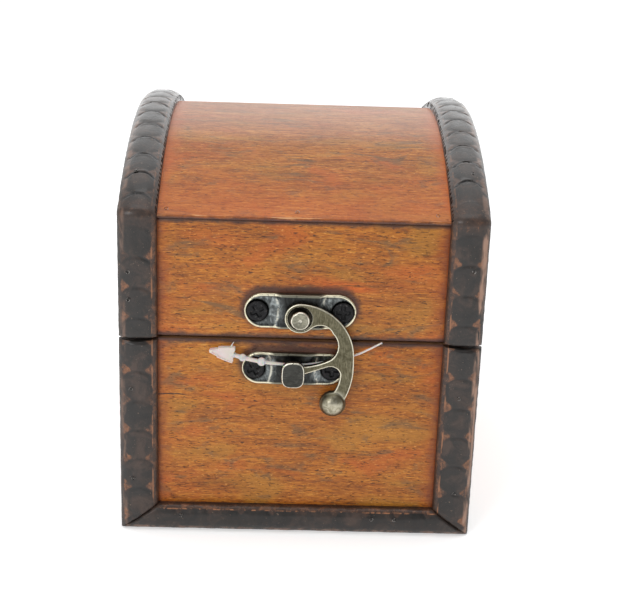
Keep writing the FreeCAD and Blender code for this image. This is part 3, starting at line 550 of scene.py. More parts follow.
PANEL_X = panel_wood("panel_wood_across", "X")
PANEL_Y = panel_wood("panel_wood_along", "Y")
PANEL_TOP = panel_wood("panel_wood_vault", "X", upper=True)
STRIP = strip_wood("strip_wood_upright", wear=1.0, ledge=0.7)
STRIP_ARCH = strip_wood("strip_wood_arch", wear=0.25, ledge=0.25)
STRIP_FOOT = strip_wood("strip_wood_foot", wear=0.10, ledge=0.95)
BRIGHT_RIM = (0.85, 0.82, 0.70)
BRONZE = antique_bronze("antique_bronze", (0.26, 0.25, 0.19), BRIGHT_RIM, (0.05, 0.043, 0.03),
                        patina=0.35, brushing=0.30)
POST_BRONZE = antique_bronze("post_bronze", (0.055, 0.055, 0.050), BRIGHT_RIM, (0.10, 0.085, 0.06),
                             patina=0.25, brushing=0.04)
HINGE = antique_bronze("hinge_bronze", (0.22, 0.18, 0.105), (0.66, 0.58, 0.38), (0.09, 0.07, 0.045),
                       patina=0.5, brushing=0.30)
HOOK = hook_metal("hook_bronze")
PLATE = pressed_plate_metal("pressed_plate")
SCREW = black_screw("screw_black")
BRAD = brad_steel("brad_head")
NYLON = moulded_nylon("moulded_nylon")


# ================================================================ mesh helpers
def smooth(low, high, number):
    """0 below low, 1 above high and a smooth step between them."""
    share = min(1.0, max(0.0, (number - low) / (high - low)))
    return share * share * (3 - 2 * share)


def bell(distance, width):
    """1 at no distance, falling smoothly to nothing over about two widths."""
    return math.exp(-(distance / width) ** 2)


def in_mm(pairs):
    return [(first * MM, second * MM) for first, second in pairs]


def constant(number):
    return lambda across: number


def add_piece(name, verts, faces, material):
    mesh = bpy.data.meshes.new(name)
    mesh.from_pydata(verts, [], faces)
    mesh.validate()
    mesh.shade_smooth()
    piece = bpy.data.objects.new(name, mesh)
    bpy.context.scene.collection.objects.link(piece)
    mesh.materials.append(material)
    return piece


def outward_normals(piece):
    work = bmesh.new()
    work.from_mesh(piece.data)
    bmesh.ops.recalc_face_normals(work, faces=work.faces)
    work.to_mesh(piece.data)
    work.free()


def sharpen(piece, degrees):
    """Smooth shading, broken where faces meet at more than an angle."""
    piece.data.set_sharp_from_angle(angle=math.radians(degrees))


def closed_skin(name, rings, material, sharp_degrees):
    """A skin through rings that each have the same number of points, closed at both ends."""
    count = len(rings[0])
    total = count * len(rings)
    faces = []
    for low in range(0, total - count, count):
        high = low + count
        for number in range(count):
            after = (number + 1) % count
            faces.append((low + number, low + after, high + after, high + number))
    faces.append(tuple(range(count - 1, -1, -1)))
    faces.append(tuple(range(total - count, total)))
    piece = add_piece(name, [spot for ring in rings for spot in ring], faces, material)
    outward_normals(piece)
    sharpen(piece, sharp_degrees)
    return piece


def paint_marks(piece, marks):
    """Keep four numbers for each point, for the material to read."""
    paint = piece.data.color_attributes.new("mark", "FLOAT_COLOR", "POINT")
    for number, mark in enumerate(marks):
        paint.data[number].color = mark


def cad_copy(node, name, material):
    """A mesh of a CAD node to work on, its corners merged."""
    piece = bpy.data.objects.new(name, frame["nodes"][node].data.copy())
    bpy.context.scene.collection.objects.link(piece)
    piece.data.materials.clear()
    piece.data.materials.append(material)
    work = bmesh.new()
    work.from_mesh(piece.data)
    bmesh.ops.remove_doubles(work, verts=work.verts, dist=0.01 * MM)
    bmesh.ops.dissolve_limit(work, angle_limit=math.radians(1), verts=work.verts, edges=work.edges)
    work.to_mesh(piece.data)
    work.free()
    return piece


def ease_edges(piece, width):
    bevel = piece.modifiers.new("eased_edges", "BEVEL")
    bevel.width = width
    bevel.segments = 3
    bevel.limit_method = "ANGLE"
    bevel.angle_limit = math.radians(50)


def apply_modifiers(piece):
    graph = bpy.context.evaluated_depsgraph_get()
    final = bpy.data.meshes.new_from_object(piece.evaluated_get(graph))
    piece.modifiers.clear()
    piece.data = final


def joined(name, pieces):
    """Several meshes as one object."""
    with bpy.context.temp_override(active_object=pieces[0], selected_editable_objects=pieces):
        bpy.ops.object.join()
    pieces[0].name = name
    return pieces[0]


def stand_for(piece, body, node):
    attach(piece, body)
    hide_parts(node)


# ================================================================ the domed, stamped strips
def dome(share):
    """Height of the section at a share of its half width."""
    return EDGE_HEIGHT + (PROUD - SLACK - EDGE_HEIGHT) * (1 - abs(share) ** DOME_POWER) ** 0.5


def disc_relief(along, across, pitch):
    """The stamped discs: height change, rubbed corner between discs, and crease or, below 0, the
    lip beside it.  The tool leans, so each disc is cut in sharply where `along` is greatest and
    fades out at its other end."""
    centre = round(along / pitch) * pitch
    reach = math.hypot(along - centre, across)
    beyond = (reach - DISC_RADIUS) / MM
    corner = 1 - smooth(1.3 * MM, 2.6 * MM, pitch / 2 - abs(along - centre))
    corner *= smooth(1.2 * MM, 2.2 * MM, abs(across)) * (1 - smooth(3.7 * MM, 4.3 * MM, abs(across)))
    gap = smooth(-0.1, 0.5, beyond) * corner
    ahead = smooth(0.35 * DISC_RADIUS, 0.70 * DISC_RADIUS, along - centre)
    crease = ahead * bell(beyond, 0.36)
    lip = ahead * bell(beyond + 0.85, 0.30)
    pillow = DISC_PILLOW * (1 - min(reach / DISC_RADIUS, 1) ** 2)
    ground = GROUND_DEPTH * (smooth(0, 0.5, beyond) + (1 - ahead) * bell(beyond - 0.1, 0.5))
    height = pillow + LIP_HEIGHT * lip - CREASE_DEPTH * crease - ground
    return height, gap, crease - lip


def kerf_at(along, seed):
    """Whether a saw cut, made by eye at nearly even steps, crosses the strip's inner edge here."""
    return (along + noise.noise(Vector((along / MM, seed, 0))) * MM) % KERF_PITCH < KERF_WIDTH


def section_columns(width, count=30):
    """Places across the section and the heights there, with the two walls."""
    half = width / 2 - SLACK
    columns = [(-half, 0.0), (-half, 0.5 * EDGE_HEIGHT)]
    for number in range(count + 1):
        share = -math.cos(math.pi * number / count)
        columns.append((half * share, dome(share)))
    return columns + [(half, 0.5 * EDGE_HEIGHT), (half, 0.0)]


def strip(node, body, place, start, end, width, pressed, material, pitch=LID_PITCH, phase=0.0, inner=-1,
          step=0.35, kerfs=False, shoulder_wear_and_sheen=0.5, flush=(False, False), knuckle=None, fade=5):
    """A strip over its CAD node.  place(along, across, height) gives a point; start and end say
    how far the strip runs at each place across it; pressed is how deep the discs are; inner is
    the sign of `across` on the panel's side; flush ends meet another strip without easing;
    knuckle is where the strip turns: the discs fade over some mm before it, and there the stain is
    rubbed thin and painted lighter as the highlight on the rounded turn."""
    columns = section_columns(width)
    longest = max(end(across) - start(across) for across, _ in columns)
    rows = int(longest / (step * MM))
    seed = sum(map(ord, node)) * 0.37
    slack_start, slack_end = (0.0 if met else SLACK for met in flush)
    rings, marks = [], []
    for row in range(rows + 1):
        ring = []
        for across, height in columns:
            first, last = start(across) + slack_start, end(across) - slack_end
            along = first + (last - first) * row / rows
            plain = 0.0 if knuckle is None else smooth(knuckle - fade * MM, knuckle, abs(along))
            relief, gap, crease = disc_relief(along + phase, across, pitch)
            relief, crease = relief * (1 - plain), crease * (1 - plain) * pressed
            wobble = noise.noise(Vector((along / MM / 6, across / MM / 3, seed))) * 0.20 * MM * (1 - plain)
            to_start = MM if flush[0] else along - first
            to_end = MM if flush[1] else last - along
            easing = 0.55 * MM * (1 - smooth(0, 0.8 * MM, min(to_start, to_end))) ** 1.5
            fullness = smooth(EDGE_HEIGHT, EDGE_HEIGHT + 1.0 * MM, height)
            lifted = height + (relief * pressed + wobble) * fullness - easing * (height / PROUD)
            lifted = min(max(lifted, 0.0), PROUD)
            sideways = across
            if height > 0:
                ripple = noise.noise(Vector((along / MM / 3, seed, across / MM))) * 0.16 * MM
                near_edge = smooth(0.6, 1, abs(across) * 2 / width)
                sideways -= math.copysign(abs(ripple), across) * near_edge
            if kerfs and across * inner > width / 2 - KERF_REACH and kerf_at(along, seed):
                lifted = min(lifted, 0.2 * MM)
                # the saw cut is also painted dark, as shade, through the crease mark
                crease = 1.0
            ring.append(place(along, sideways, lifted))
            side_share = 0.5 + 0.5 * inner * across * 2 / width
            on_wall = height < EDGE_HEIGHT + 0.001 * MM
            if on_wall:
                side_share = 1.0 if across * inner > 0 else 0.0
            # worn gaps between discs, and over the knuckle a lighter brown: partly rubbed stain, partly a
            # painted highlight
            gap_wear_and_knuckle_sheen = max(gap * fullness * (1 - plain), 0.55 * plain)
            marks.append((gap_wear_and_knuckle_sheen, side_share, crease, shoulder_wear_and_sheen))
        rings.append(ring)
    piece = closed_skin(f"{node}_stamped", rings, material, 48)
    paint_marks(piece, marks)
    stand_for(piece, body, node)


def foot_mitre(across):
    """Where a base strip starts, on the mitre that it shares with the foot strip."""
    return FOOT * (0.5 - across / STRIP_WIDTH)


def foot_strip(node, place, half_length, phase=0.0):
    """A foot strip, mitred into the base strip at each end."""
    def reach(across):
        return half_length - STRIP_WIDTH * (0.5 + across / FOOT)

    strip(node, "base", place, lambda across: -reach(across), reach, FOOT, FOOT_PRESS, STRIP_FOOT,
          BASE_PITCH, phase=phase, inner=1)


def upright_strips():
    """The strips on the front and back."""
    middle = HALF_WIDTH - STRIP_WIDTH / 2
    for face, outward in (("front", -1), ("back", 1)):
        for side_name, side in (("left", -1), ("right", 1)):
            def place(along, across, height, outward=outward, side=side):
                return Vector((side * (middle + across), outward * (HALF_DEPTH + height), along))

            # how pale the outer shoulder is, partly wear and partly a painted sheen, more on the right
            worn = 1.3 if side > 0 else 0.45
            node = f"base_{face}_{side_name}_strip"
            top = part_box(node)[1].z
            strip(node, "base", place, foot_mitre, constant(top), STRIP_WIDTH, UPRIGHT_PRESS, STRIP,
                  BASE_PITCH, phase=UPRIGHT_PHASE, shoulder_wear_and_sheen=worn)
            node = f"lid_{face}_{side_name}_strip"
            low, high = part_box(node)
            strip(node, "lid", place, constant(low.z), constant(high.z), STRIP_WIDTH, UPRIGHT_PRESS,
                  STRIP, phase=UPRIGHT_PHASE, shoulder_wear_and_sheen=worn, flush=(False, True), knuckle=high.z)

        def foot_place(along, across, height, outward=outward):
            return Vector((along, outward * (HALF_DEPTH + height), FOOT / 2 + across))

        foot_strip(f"base_{face}_foot_strip", foot_place, HALF_WIDTH, phase=2 * MM)


def end_strips():
    """Strips on the two ends of the box, behind the edges of the front and back ones."""
    middle = HALF_DEPTH - STRIP_WIDTH / 2
    arch_inner_radius = VAULT_RADIUS - STRIP_WIDTH
    arch_radius = VAULT_RADIUS - STRIP_WIDTH / 2

    def under_arch(across):
        return VAULT_CENTRE + math.sqrt(arch_inner_radius ** 2 - (middle + across) ** 2)

    def half_arch(across):
        return arch_radius * math.asin(HALF_DEPTH / (arch_radius + across))

    for side_name, side in (("left", -1), ("right", 1)):
        for face, end in (("front", -1), ("back", 1)):
            def place(along, across, height, side=side, end=end):
                return Vector((side * (BOARD_HALF_WIDTH + height), end * (middle + across), along))

            node = f"base_{side_name}_{face}_strip"
            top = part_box(node)[1].z
            strip(node, "base", place, foot_mitre, constant(top), STRIP_WIDTH, END_PRESS, STRIP, BASE_PITCH)
            node = f"lid_{side_name}_{face}_strip"
            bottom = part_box(node)[0].z
            strip(node, "lid", place, constant(bottom), under_arch, STRIP_WIDTH, END_PRESS, STRIP)

        def foot_place(along, across, height, side=side):
            return Vector((side * (BOARD_HALF_WIDTH + height), along, FOOT / 2 + across))

        def arch_place(along, across, height, side=side):
            angle = along / arch_radius
            radius = arch_radius + across
            return Vector((side * (BOARD_HALF_WIDTH + height), radius * math.sin(angle),
                           VAULT_CENTRE + radius * math.cos(angle)))

        foot_strip(f"base_{side_name}_foot_strip", foot_place, HALF_DEPTH)
        strip(f"lid_{side_name}_side_arch", "lid", arch_place, lambda across: -half_arch(across), half_arch,
              STRIP_WIDTH, END_ARCH_PRESS, STRIP)


def vault_strips():
    """The two strips bent over the vault, with saw cuts along the inner edge and a knuckle at each
    end."""
    middle = HALF_WIDTH - STRIP_WIDTH / 2
    arc = VAULT_RADIUS * LEAN
    knuckle_length = 1.9 * MM       # the length along the strip given to the turn over the spring
    reach = arc + knuckle_length

    for side_name, side, fade in (("left", -1, 7), ("right", 1, 14)):
        def place(along, across, height, side=side):
            distance = abs(along)
            if distance <= arc:
                turn = distance / VAULT_RADIUS
                radius = VAULT_RADIUS + height
                y, z = radius * math.sin(turn), VAULT_CENTRE + radius * math.cos(turn)
            else:
                turn = LEAN + (math.pi / 2 - LEAN) * (distance - arc) / knuckle_length
                y, z = HALF_DEPTH + height * math.sin(turn), SPRING + height * math.cos(turn)
            return Vector((side * (middle + across), math.copysign(y, along), z))

        strip(f"lid_{side_name}_arch_strip", "lid", place, constant(-reach), constant(reach), STRIP_WIDTH,
              FULL_PRESS, STRIP_ARCH, phase=0.2 * MM, step=0.27, kerfs=True, flush=(True, True), knuckle=arc,
              fade=fade)


# ================================================================ boards
def vault_panel():
    """The thin bent board of the lid, with the coin slot through its rear slope."""
    slot_box = next(o for o in frame["record"]["physics"]["openings"] if o["name"] == "coin_slot")
    (x_low, y_low, _), (x_high, y_high, _) = slot_box["box_m"]
    margin = 0.3 * MM               # the slot is this much larger all round than its opening's box
    slot_x = (x_low - margin, x_high + margin)
    slot_y = (y_low - margin, y_high + margin)
    half_width = BOARD_HALF_WIDTH - 0.05 * MM
    across_cells, round_cells = 60, 90
    xs = [-half_width + 2 * half_width * n / across_cells for n in range(across_cells + 1)]
    ys = [-HALF_DEPTH + 2 * HALF_DEPTH * n / round_cells for n in range(round_cells + 1)]
    xs, ys = sorted({*xs, *slot_x}), sorted({*ys, *slot_y})

    verts, index = [], {}
    for layer, radius in enumerate((VAULT_RADIUS, VAULT_RADIUS - PANEL_THICKNESS)):
        for i, x in enumerate(xs):
            for j, y in enumerate(ys):
                index[layer, i, j] = len(verts)
                verts.append(Vector((x, y, VAULT_CENTRE + math.sqrt(radius ** 2 - y ** 2))))

    def in_slot(i, j):
        return slot_x[0] <= xs[i] < slot_x[1] and slot_y[0] <= ys[j] < slot_y[1]

    cells = {(i, j) for i in range(len(xs) - 1) for j in range(len(ys) - 1) if not in_slot(i, j)}
    faces = []
    for i, j in sorted(cells):
        ring = [(i, j), (i + 1, j), (i + 1, j + 1), (i, j + 1)]
        faces.append([index[0, *corner] for corner in ring])
        faces.append([index[1, *corner] for corner in reversed(ring)])
        beyond = [(i, j - 1), (i + 1, j), (i, j + 1), (i - 1, j)]
        for number, neighbour in enumerate(beyond):
            if neighbour not in cells:
                a, b = ring[number], ring[(number + 1) % 4]
                faces.append([index[1, *a], index[1, *b], index[0, *b], index[0, *a]])
    piece = add_piece("lid_top_panel_bent", verts, faces, PANEL_TOP)
    outward_normals(piece)
    ease_edges(piece, 0.30 * MM)
    sharpen(piece, 40)
    stand_for(piece, "lid", "lid_top_panel")


def boards():
    """The flat boards, with eased edges."""
    grain_along = {
        PANEL_X: ("base_front", "base_back", "lid_front", "lid_back"),
        PANEL_Y: ("base_left", "base_right", "lid_left", "lid_right", "base_bottom"),
    }
    for material, names in grain_along.items():
        for name in names:
            node = f"{name}_board"
            piece = cad_copy(node, f"{node}_planed", material)
            ease_edges(piece, 0.45 * MM)
            apply_modifiers(piece)
            piece.data.shade_smooth()
            sharpen(piece, 40)
            stand_for(piece, name.split("_")[0], node)


def hinge_materials():
    for side_name in ("left", "right"):
        for part in ("base_leaf", "lid_leaf", "pin"):
            materials = frame["nodes"][f"hinge_{side_name}_{part}"].data.materials
            materials.clear()
            materials.append(HINGE)


# ================================================================ the latch
def latch_plate(node, body, hump):
    """A pressed plate: a stadium with a raised middle, rolled edges and a countersink for each
    screw, built as a height field over the CAD plate."""
    low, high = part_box(node)
    width, tall = high.x - low.x, high.z - low.z
    centre = (low + high) / 2
    back = -HALF_DEPTH
    radius = tall / 2
    straight = width / 2 - radius
    screw_x = width / 2 - tall * 0.36
    ramp_start, ramp_end = 4.2 * MM, 6.0 * MM
    rolled = 0.42 * MM
    columns, rows = 170, 46

    def half_height(x):
        over = max(abs(x) - straight, 0)
        return math.sqrt(max(radius ** 2 - over ** 2, 0))

    def surface(x, z):
        """Height, and the rim mark, the mark for painted shade and patina, and the crease mark for a painted
        highlight.
        """
        from_rim = radius - math.hypot(max(abs(x) - straight, 0), z)
        roll = rolled * (1 - math.sqrt(max(0, 1 - (1 - min(from_rim / rolled, 1)) ** 2)))
        bow = 1.1 * MM * (1 - (z / radius) ** 2)        # the creases bow in towards the middle
        outward = abs(x) + bow - 0.6 * MM
        ramp = smooth(ramp_start, ramp_end, outward)
        to_screw = math.hypot(abs(x) - screw_x, z)
        sink = 0.35 * MM * (1 - smooth(2.5 * MM, 3.1 * MM, to_screw))
        dish = 0.25 * MM * smooth(0.3 * MM, 1.4 * MM, from_rim) * ramp
        # the crease line, painted pale as a highlight
        crease = bell(outward - ramp_end, 0.22 * MM)
        rim = (1 - smooth(0.40 * MM, 0.70 * MM, from_rim)) * (0.25 + 0.75 * ramp)
        # painted shade and patina: the raised middle under the ring and the post, round the screws, near the
        # edge
        shade = max(1 - ramp, 1 - smooth(2.7 * MM, 3.5 * MM, to_screw),
                    0.6 * (1 - smooth(0.6 * MM, 1.1 * MM, from_rim)))
        return PLATE_THICKNESS + hump * (1 - ramp) - roll - sink - dish, (rim, shade, crease, 1.0)

    verts, faces, marks = [], [], []
    for i in range(columns + 1):
        x = -width / 2 * math.cos(math.pi * i / columns)
        for j in range(rows + 1):
            z = -half_height(x) * math.cos(math.pi * j / rows)
            height, mark = surface(x, z)
            verts.append(Vector((centre.x + x, back - height, centre.z + z)))
            marks.append(mark)
    for i in range(columns):
        for j in range(rows):
            a = i * (rows + 1) + j
            faces.append((a, a + rows + 1, a + rows + 2, a + 1))
    piece = add_piece(f"{node}_pressed", verts, faces, PLATE)
    paint_marks(piece, marks)
    close_to_back(piece, back - 0.02 * MM)
    sharpen(piece, 60)
    stand_for(piece, body, node)


def close_to_back(piece, back):
    """Gives a height field side walls and a flat back."""
    work = bmesh.new()
    work.from_mesh(piece.data)
    bmesh.ops.remove_doubles(work, verts=work.verts, dist=0.005 * MM)
    rim = [edge for edge in work.edges if edge.is_boundary]
    made = bmesh.ops.extrude_edge_only(work, edges=rim)
    for item in made["geom"]:
        if isinstance(item, bmesh.types.BMVert):
            item.co.y = back
    bmesh.ops.contextual_create(work, geom=[edge for edge in work.edges if edge.is_boundary])
    bmesh.ops.recalc_face_normals(work, faces=work.faces)
    work.to_mesh(piece.data)
    work.free()


def turned(name, centre, profile, material, segments=64, shape=lambda angle: 1.0, relief=lambda x, z: 0.0):
    """A turned head facing the front.  profile lists (radius, height) from rim to middle."""
    rings = []
    for radius, height in profile:
        ring = []
        for number in range(segments):
            angle = 2 * math.pi * number / segments
            reach = radius * shape(angle)
            x, z = reach * math.cos(angle), reach * math.sin(angle)
            ring.append(centre + Vector((x, relief(x, z) - height, z)))
        rings.append(ring)
    return closed_skin(name, rings, material, 55)


def cross_recess(arm, slot_width, depth, turn):
    """The depth of a cross-shaped driver recess at a point of a screw's head."""
    def drop(x, z):
        u = x * math.cos(turn) + z * math.sin(turn)
        v = -x * math.sin(turn) + z * math.cos(turn)
        narrow, long = sorted((abs(u), abs(v)))
        inside = 1 - smooth(slot_width * 0.7, slot_width * 1.3, narrow)
        return depth * inside * (1 - smooth(arm * 0.8, arm, long))
    return drop


def screws(node, body, xs, radius, height, seat, material):
    """Cross-headed screws of one CAD group at some places across, all facing away from the box."""
    level = middle_of(node).z
    rings = [(radius, 0.0), (radius, height * 0.45), (radius * 0.97, height * 0.7),
             (radius * 0.9, height * 0.9)]
    rings += [(radius * share, height) for share in
              (0.82, 0.74, 0.66, 0.58, 0.5, 0.42, 0.34, 0.27, 0.2, 0.14, 0.08, 0.02)]
    heads = []
    for number, x in enumerate(xs):
        recess = cross_recess(radius * 0.72, radius * 0.17, height * 1.2, 0.5 + 1.1 * number)
        head = turned(f"{node}_head_{number}", Vector(), rings, material, relief=recess)
        if seat > 0:
            head.data.transform(Matrix.Rotation(math.pi, 4, "Z"))
        head.data.transform(Matrix.Translation((x, seat, level)))
        heads.append(head)
    stand_for(joined(f"{node}_heads", heads), body, node)


def all_screws():
    seat = HALF_DEPTH + PLATE_THICKNESS
    for node, body in (("latch_screws", "lid"), ("catch_screws", "base")):
        low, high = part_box(node)
        radius = (high.z - low.z) / 2
        xs = (low.x + radius, high.x - radius)
        screws(node, body, xs, radius * 0.97, 0.50 * MM, -seat, SCREW)
    for node, body in (("hinge_lid_screws", "lid"), ("hinge_base_screws", "base")):
        low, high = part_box(node)
        radius = (high.z - low.z) / 2
        xs = []
        for side_name in ("left", "right"):
            pin_low, pin_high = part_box(f"hinge_{side_name}_pin")
            third = (pin_high.x - pin_low.x) / 3
            centre = (pin_low.x + pin_high.x) / 2
            xs += [centre - third, centre + third]
        screws(node, body, xs, radius, 0.38 * MM, seat, HINGE)


def front_head(node, name, body, stem, shares, material, segments=64, shape=lambda angle: 1.0):
    """A turned head on a stem.  stem is the height of its root, its radius, and how far it ends
    behind the front; shares lists (share of half the node's height, mm behind its front)."""
    low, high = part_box(node)
    half_tall = (high.z - low.z) / 2
    front = -low.y - HALF_DEPTH
    root, stem_radius, stem_behind = stem
    profile = [(stem_radius, root), (stem_radius, front - stem_behind)]
    profile += [(half_tall * share, front - behind * MM) for share, behind in shares]
    centre = middle_of(node)
    head = turned(name, Vector((centre.x, -HALF_DEPTH, centre.z)), profile, material, segments, shape)
    stand_for(head, body, node)


def rivet():
    """The hook's rivet, dimpled in the middle."""
    low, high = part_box("latch_rivet")
    stem_radius = (high.x - low.x) / 4
    shares = ((1, 1.3), (1, 0.5), (0.97, 0.28), (0.9, 0.10), (0.8, 0), (0.72, 0.06), (0.6, 0.12),
              (0.3, 0.12), (0.14, 0.15), (0.05, 0.32))
    front_head("latch_rivet", "latch_rivet_head", "lid", (0.9 * MM, stem_radius, 1.35 * MM), shares, BRONZE)


def catch_post():
    """The catch post's head, with flat sides and rounded corners."""
    low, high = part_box("catch_post")
    half_wide, half_tall = (high.x - low.x) / 2, (high.z - low.z) / 2
    power = 3.2                     # 2 would be an ellipse, and more is squarer

    def flat_sided(angle):
        x, z = abs(math.cos(angle)), abs(math.sin(angle))
        return ((x / half_wide) ** power + (z / half_tall) ** power) ** (-1 / power) / half_tall

    shares = ((0.93, 1.5), (1, 1.2), (1, 0.42), (0.975, 0.2), (0.93, 0.06), (0.87, 0), (0.82, 0.03),
              (0.7, 0.05), (0.4, 0.05), (0.05, 0.05))
    front_head("catch_post", "catch_post_head", "base", (0.3 * MM, 1.5 * MM, 1.55 * MM), shares,
               POST_BRONZE, 96, flat_sided)


def cast_hook():
    """The hook: the CAD outline and a ball, remeshed finely and smoothed until its edges and the
    join of arm and ball are as soft as a casting's, with a recess round the rivet."""
    piece = cad_copy("latch_hook", "latch_hook_cast", HOOK)
    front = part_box("latch_hook")[0].y
    rivet_place = middle_of("latch_rivet")
    knob = hook_knob()
    back = knob.y
    arm_front = back - 1.5 * MM
    ball_forward = 0.6 * MM         # the ball's middle is this far in front of the hook's back
    work = bmesh.new()
    work.from_mesh(piece.data)
    for vert in work.verts:
        vert.co.y = max(vert.co.y, arm_front)
    ball = bmesh.ops.create_uvsphere(work, u_segments=48, v_segments=32, radius=KNOB_RADIUS)["verts"]
    for vert in ball:
        vert.co.y *= (back - ball_forward - front) / KNOB_RADIUS
        vert.co += knob
        vert.co.y = min(vert.co.y - ball_forward, back)
    work.to_mesh(piece.data)
    work.free()
    remesh = piece.modifiers.new("fine_skin", "REMESH")
    remesh.mode = "VOXEL"
    remesh.voxel_size = 0.13 * MM
    soften = piece.modifiers.new("soften", "SMOOTH")
    soften.factor = 0.5
    soften.iterations = 30
    apply_modifiers(piece)
    for vert in piece.data.vertices:
        reach = math.hypot(vert.co.x - rivet_place.x, vert.co.z - rivet_place.z)
        if vert.co.y < back - 0.9 * MM and reach < 3.4 * MM:
            vert.co.y += 0.50 * MM * (1 - smooth(2.85 * MM, 3.20 * MM, reach))
    piece.data.shade_smooth()
    stand_for(piece, "hook", "latch_hook")


# ================================================================ brads and tag fastener
def solids_of(node):
    """The points of each separate solid of a CAD node."""
    work = bmesh.new()
    work.from_mesh(frame["nodes"][node].data)
    bmesh.ops.remove_doubles(work, verts=work.verts, dist=0.001 * MM)
    work.verts.ensure_lookup_table()
    seen = set()
    solids = []
    for first in work.verts:
        if first in seen:
            continue
        seen.add(first)
        stack, points = [first], []
        while stack:
            vert = stack.pop()
            points.append(vert.co.copy())
            for edge in vert.link_edges:
                other = edge.other_vert(vert)
                if other not in seen:
                    seen.add(other)
                    stack.append(other)
        solids.append(points)
    work.free()
    return solids


def brads(node, body):
    """A small dished head, with a raised middle, at the outer end of each CAD brad."""
    rings = in_mm([(0.50, -0.3), (0.50, 0.05), (0.42, 0.07), (0.34, -0.02), (0.26, -0.22), (0.20, -0.25),
                   (0.14, -0.12), (0.04, -0.08)])
    on_vault = node == "lid_vault_brads"
    heads = []
    for number, points in enumerate(solids_of(node)):
        middle = sum(points, Vector()) / len(points)
        inward = Vector((0, 1, 0))
        if on_vault:
            inward = Vector((0, -middle.y, VAULT_CENTRE - middle.z)).normalized()
        in_board = on_vault and abs(middle.x) < HALF_WIDTH - STRIP_WIDTH
        sunk = (0.02 if in_board else 0.12) * MM
        half = max((point - middle).dot(-inward) for point in points)
        head = turned(f"{node}_{number}", Vector(), rings, BRAD, 20)
        turn = Vector((0, 1, 0)).rotation_difference(inward).to_matrix().to_4x4()
        head.data.transform(Matrix.Translation(middle - inward * (half - sunk)) @ turn)
        heads.append(head)
    stand_for(joined(f"{node}_heads", heads), body, node)


def tag_fastener():
    """The nylon fastener: an arrow-shaped head with raised rims and a whisker of flash, two
    beads, and a filament bent round the catch post's stem and behind the hook."""
    head_tip = Vector((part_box("tag_fastener")[0].x + 0.1 * MM, -HALF_DEPTH - 1.7 * MM, 51.25 * MM))
    post = middle_of("catch_post")
    # across and up from the post, in front of the board, and the filament's radius, all in mm
    stops = [(-15.1, 3.9, 1.7, 0.50), (-12.8, 3.4, 2.2, 0.60), (-8.0, 2.4, 2.2, 0.50),
             (-3.1, 1.9, 2.2, 0.36), (1.7, 1.4, 1.2, 0.30), (9.0, 2.5, 1.2, 0.28), (15.6, 4.4, 1.2, 0.27),
             (19.0, 6.1, 1.3, 0.25), (22.3, 8.0, 1.3, 0.22)]
    path = [Vector((post.x + x * MM, -HALF_DEPTH - ahead * MM, post.z + z * MM)) for x, z, ahead, _ in stops]
    neck, *bead_places = path[:3]
    parts = [arrow_head(head_tip, neck), filament(path, [stop[3] * MM for stop in stops])]
    for number, (spot, radius) in enumerate(zip(bead_places, (1.0 * MM, 1.15 * MM))):
        steps = [math.pi * step / 14 for step in range(13, 0, -1)]
        profile = [(radius * math.sin(angle), 0.62 * radius * math.cos(angle)) for angle in steps]
        parts.append(turned(f"tag_bead_{number}", spot, profile, NYLON, 24))
    whisker = [neck + Vector(offset) * MM for offset in ((-0.9, 0, 1.5), (-0.5, 0, 2.6), (0.05, 0, 3.5))]
    parts.append(filament(whisker, [0.22 * MM, 0.16 * MM, 0.07 * MM]))
    stand_for(joined("tag_fastener_moulded", parts), "base", "tag_fastener")


def arrow_head(tip, neck):
    """A flat barbed head: its outline is a nose that widens in two steps, with a raised rim."""
    length = (tip - neck).length
    ahead = (tip - neck) / length
    across = Vector((-ahead.z, 0, ahead.x))
    # share of the way from neck to tip, and half the width in mm
    outline = [(1.0, 0.0), (0.97, 0.42), (0.72, 0.95), (0.66, 0.98), (0.66, 1.35), (0.60, 1.45),
               (0.10, 2.15), (0.0, 2.2), (-0.03, 1.5), (0.0, 0.55), (-0.08, 0.5)]
    edge = [(share * length, half * MM) for share, half in outline]
    edge += [(along, -half) for along, half in reversed(edge[1:])]
    middle = 0.35 * length
    rings = []
    for scale, depth in ((1.0, 0.55), (1.0, -0.40), (0.93, -0.62), (0.84, -0.62), (0.76, -0.34)):
        ring = []
        for along, side in edge:
            spot = neck + ahead * (middle + (along - middle) * scale) + across * side * scale
            ring.append(spot + Vector((0, depth * MM, 0)))
        rings.append(ring)
    return closed_skin("tag_head", rings, NYLON, 40)


def filament(path, radii, rows=10, sides=12):
    """A tube on a smooth curve through the points of a path, with a radius at each."""
    spots, sizes = [], []
    for number in range(len(path) - 1):
        before = path[max(number - 1, 0)]
        start, end = path[number], path[number + 1]
        beyond = path[min(number + 2, len(path) - 1)]
        for row in range(rows):
            t = row / rows
            spots.append(0.5 * (2 * start + (end - before) * t
                                + (2 * before - 5 * start + 4 * end - beyond) * t ** 2
                                + (3 * start - before - 3 * end + beyond) * t ** 3))
            sizes.append(radii[number] + (radii[number + 1] - radii[number]) * t)
    spots.append(path[-1])
    sizes.append(radii[-1])
    rings = []
    for number, (spot, size) in enumerate(zip(spots, sizes)):
        ahead = (spots[min(number + 1, len(spots) - 1)] - spots[max(number - 1, 0)]).normalized()
        up = ahead.cross(Vector((0, 1, 0))).normalized()
        out = up.cross(ahead)
        angles = [2 * math.pi * side / sides for side in range(sides)]
        rings.append([spot + (up * math.cos(angle) + out * math.sin(angle)) * size for angle in angles])
    return closed_skin("tag_filament", rings, NYLON, 60)


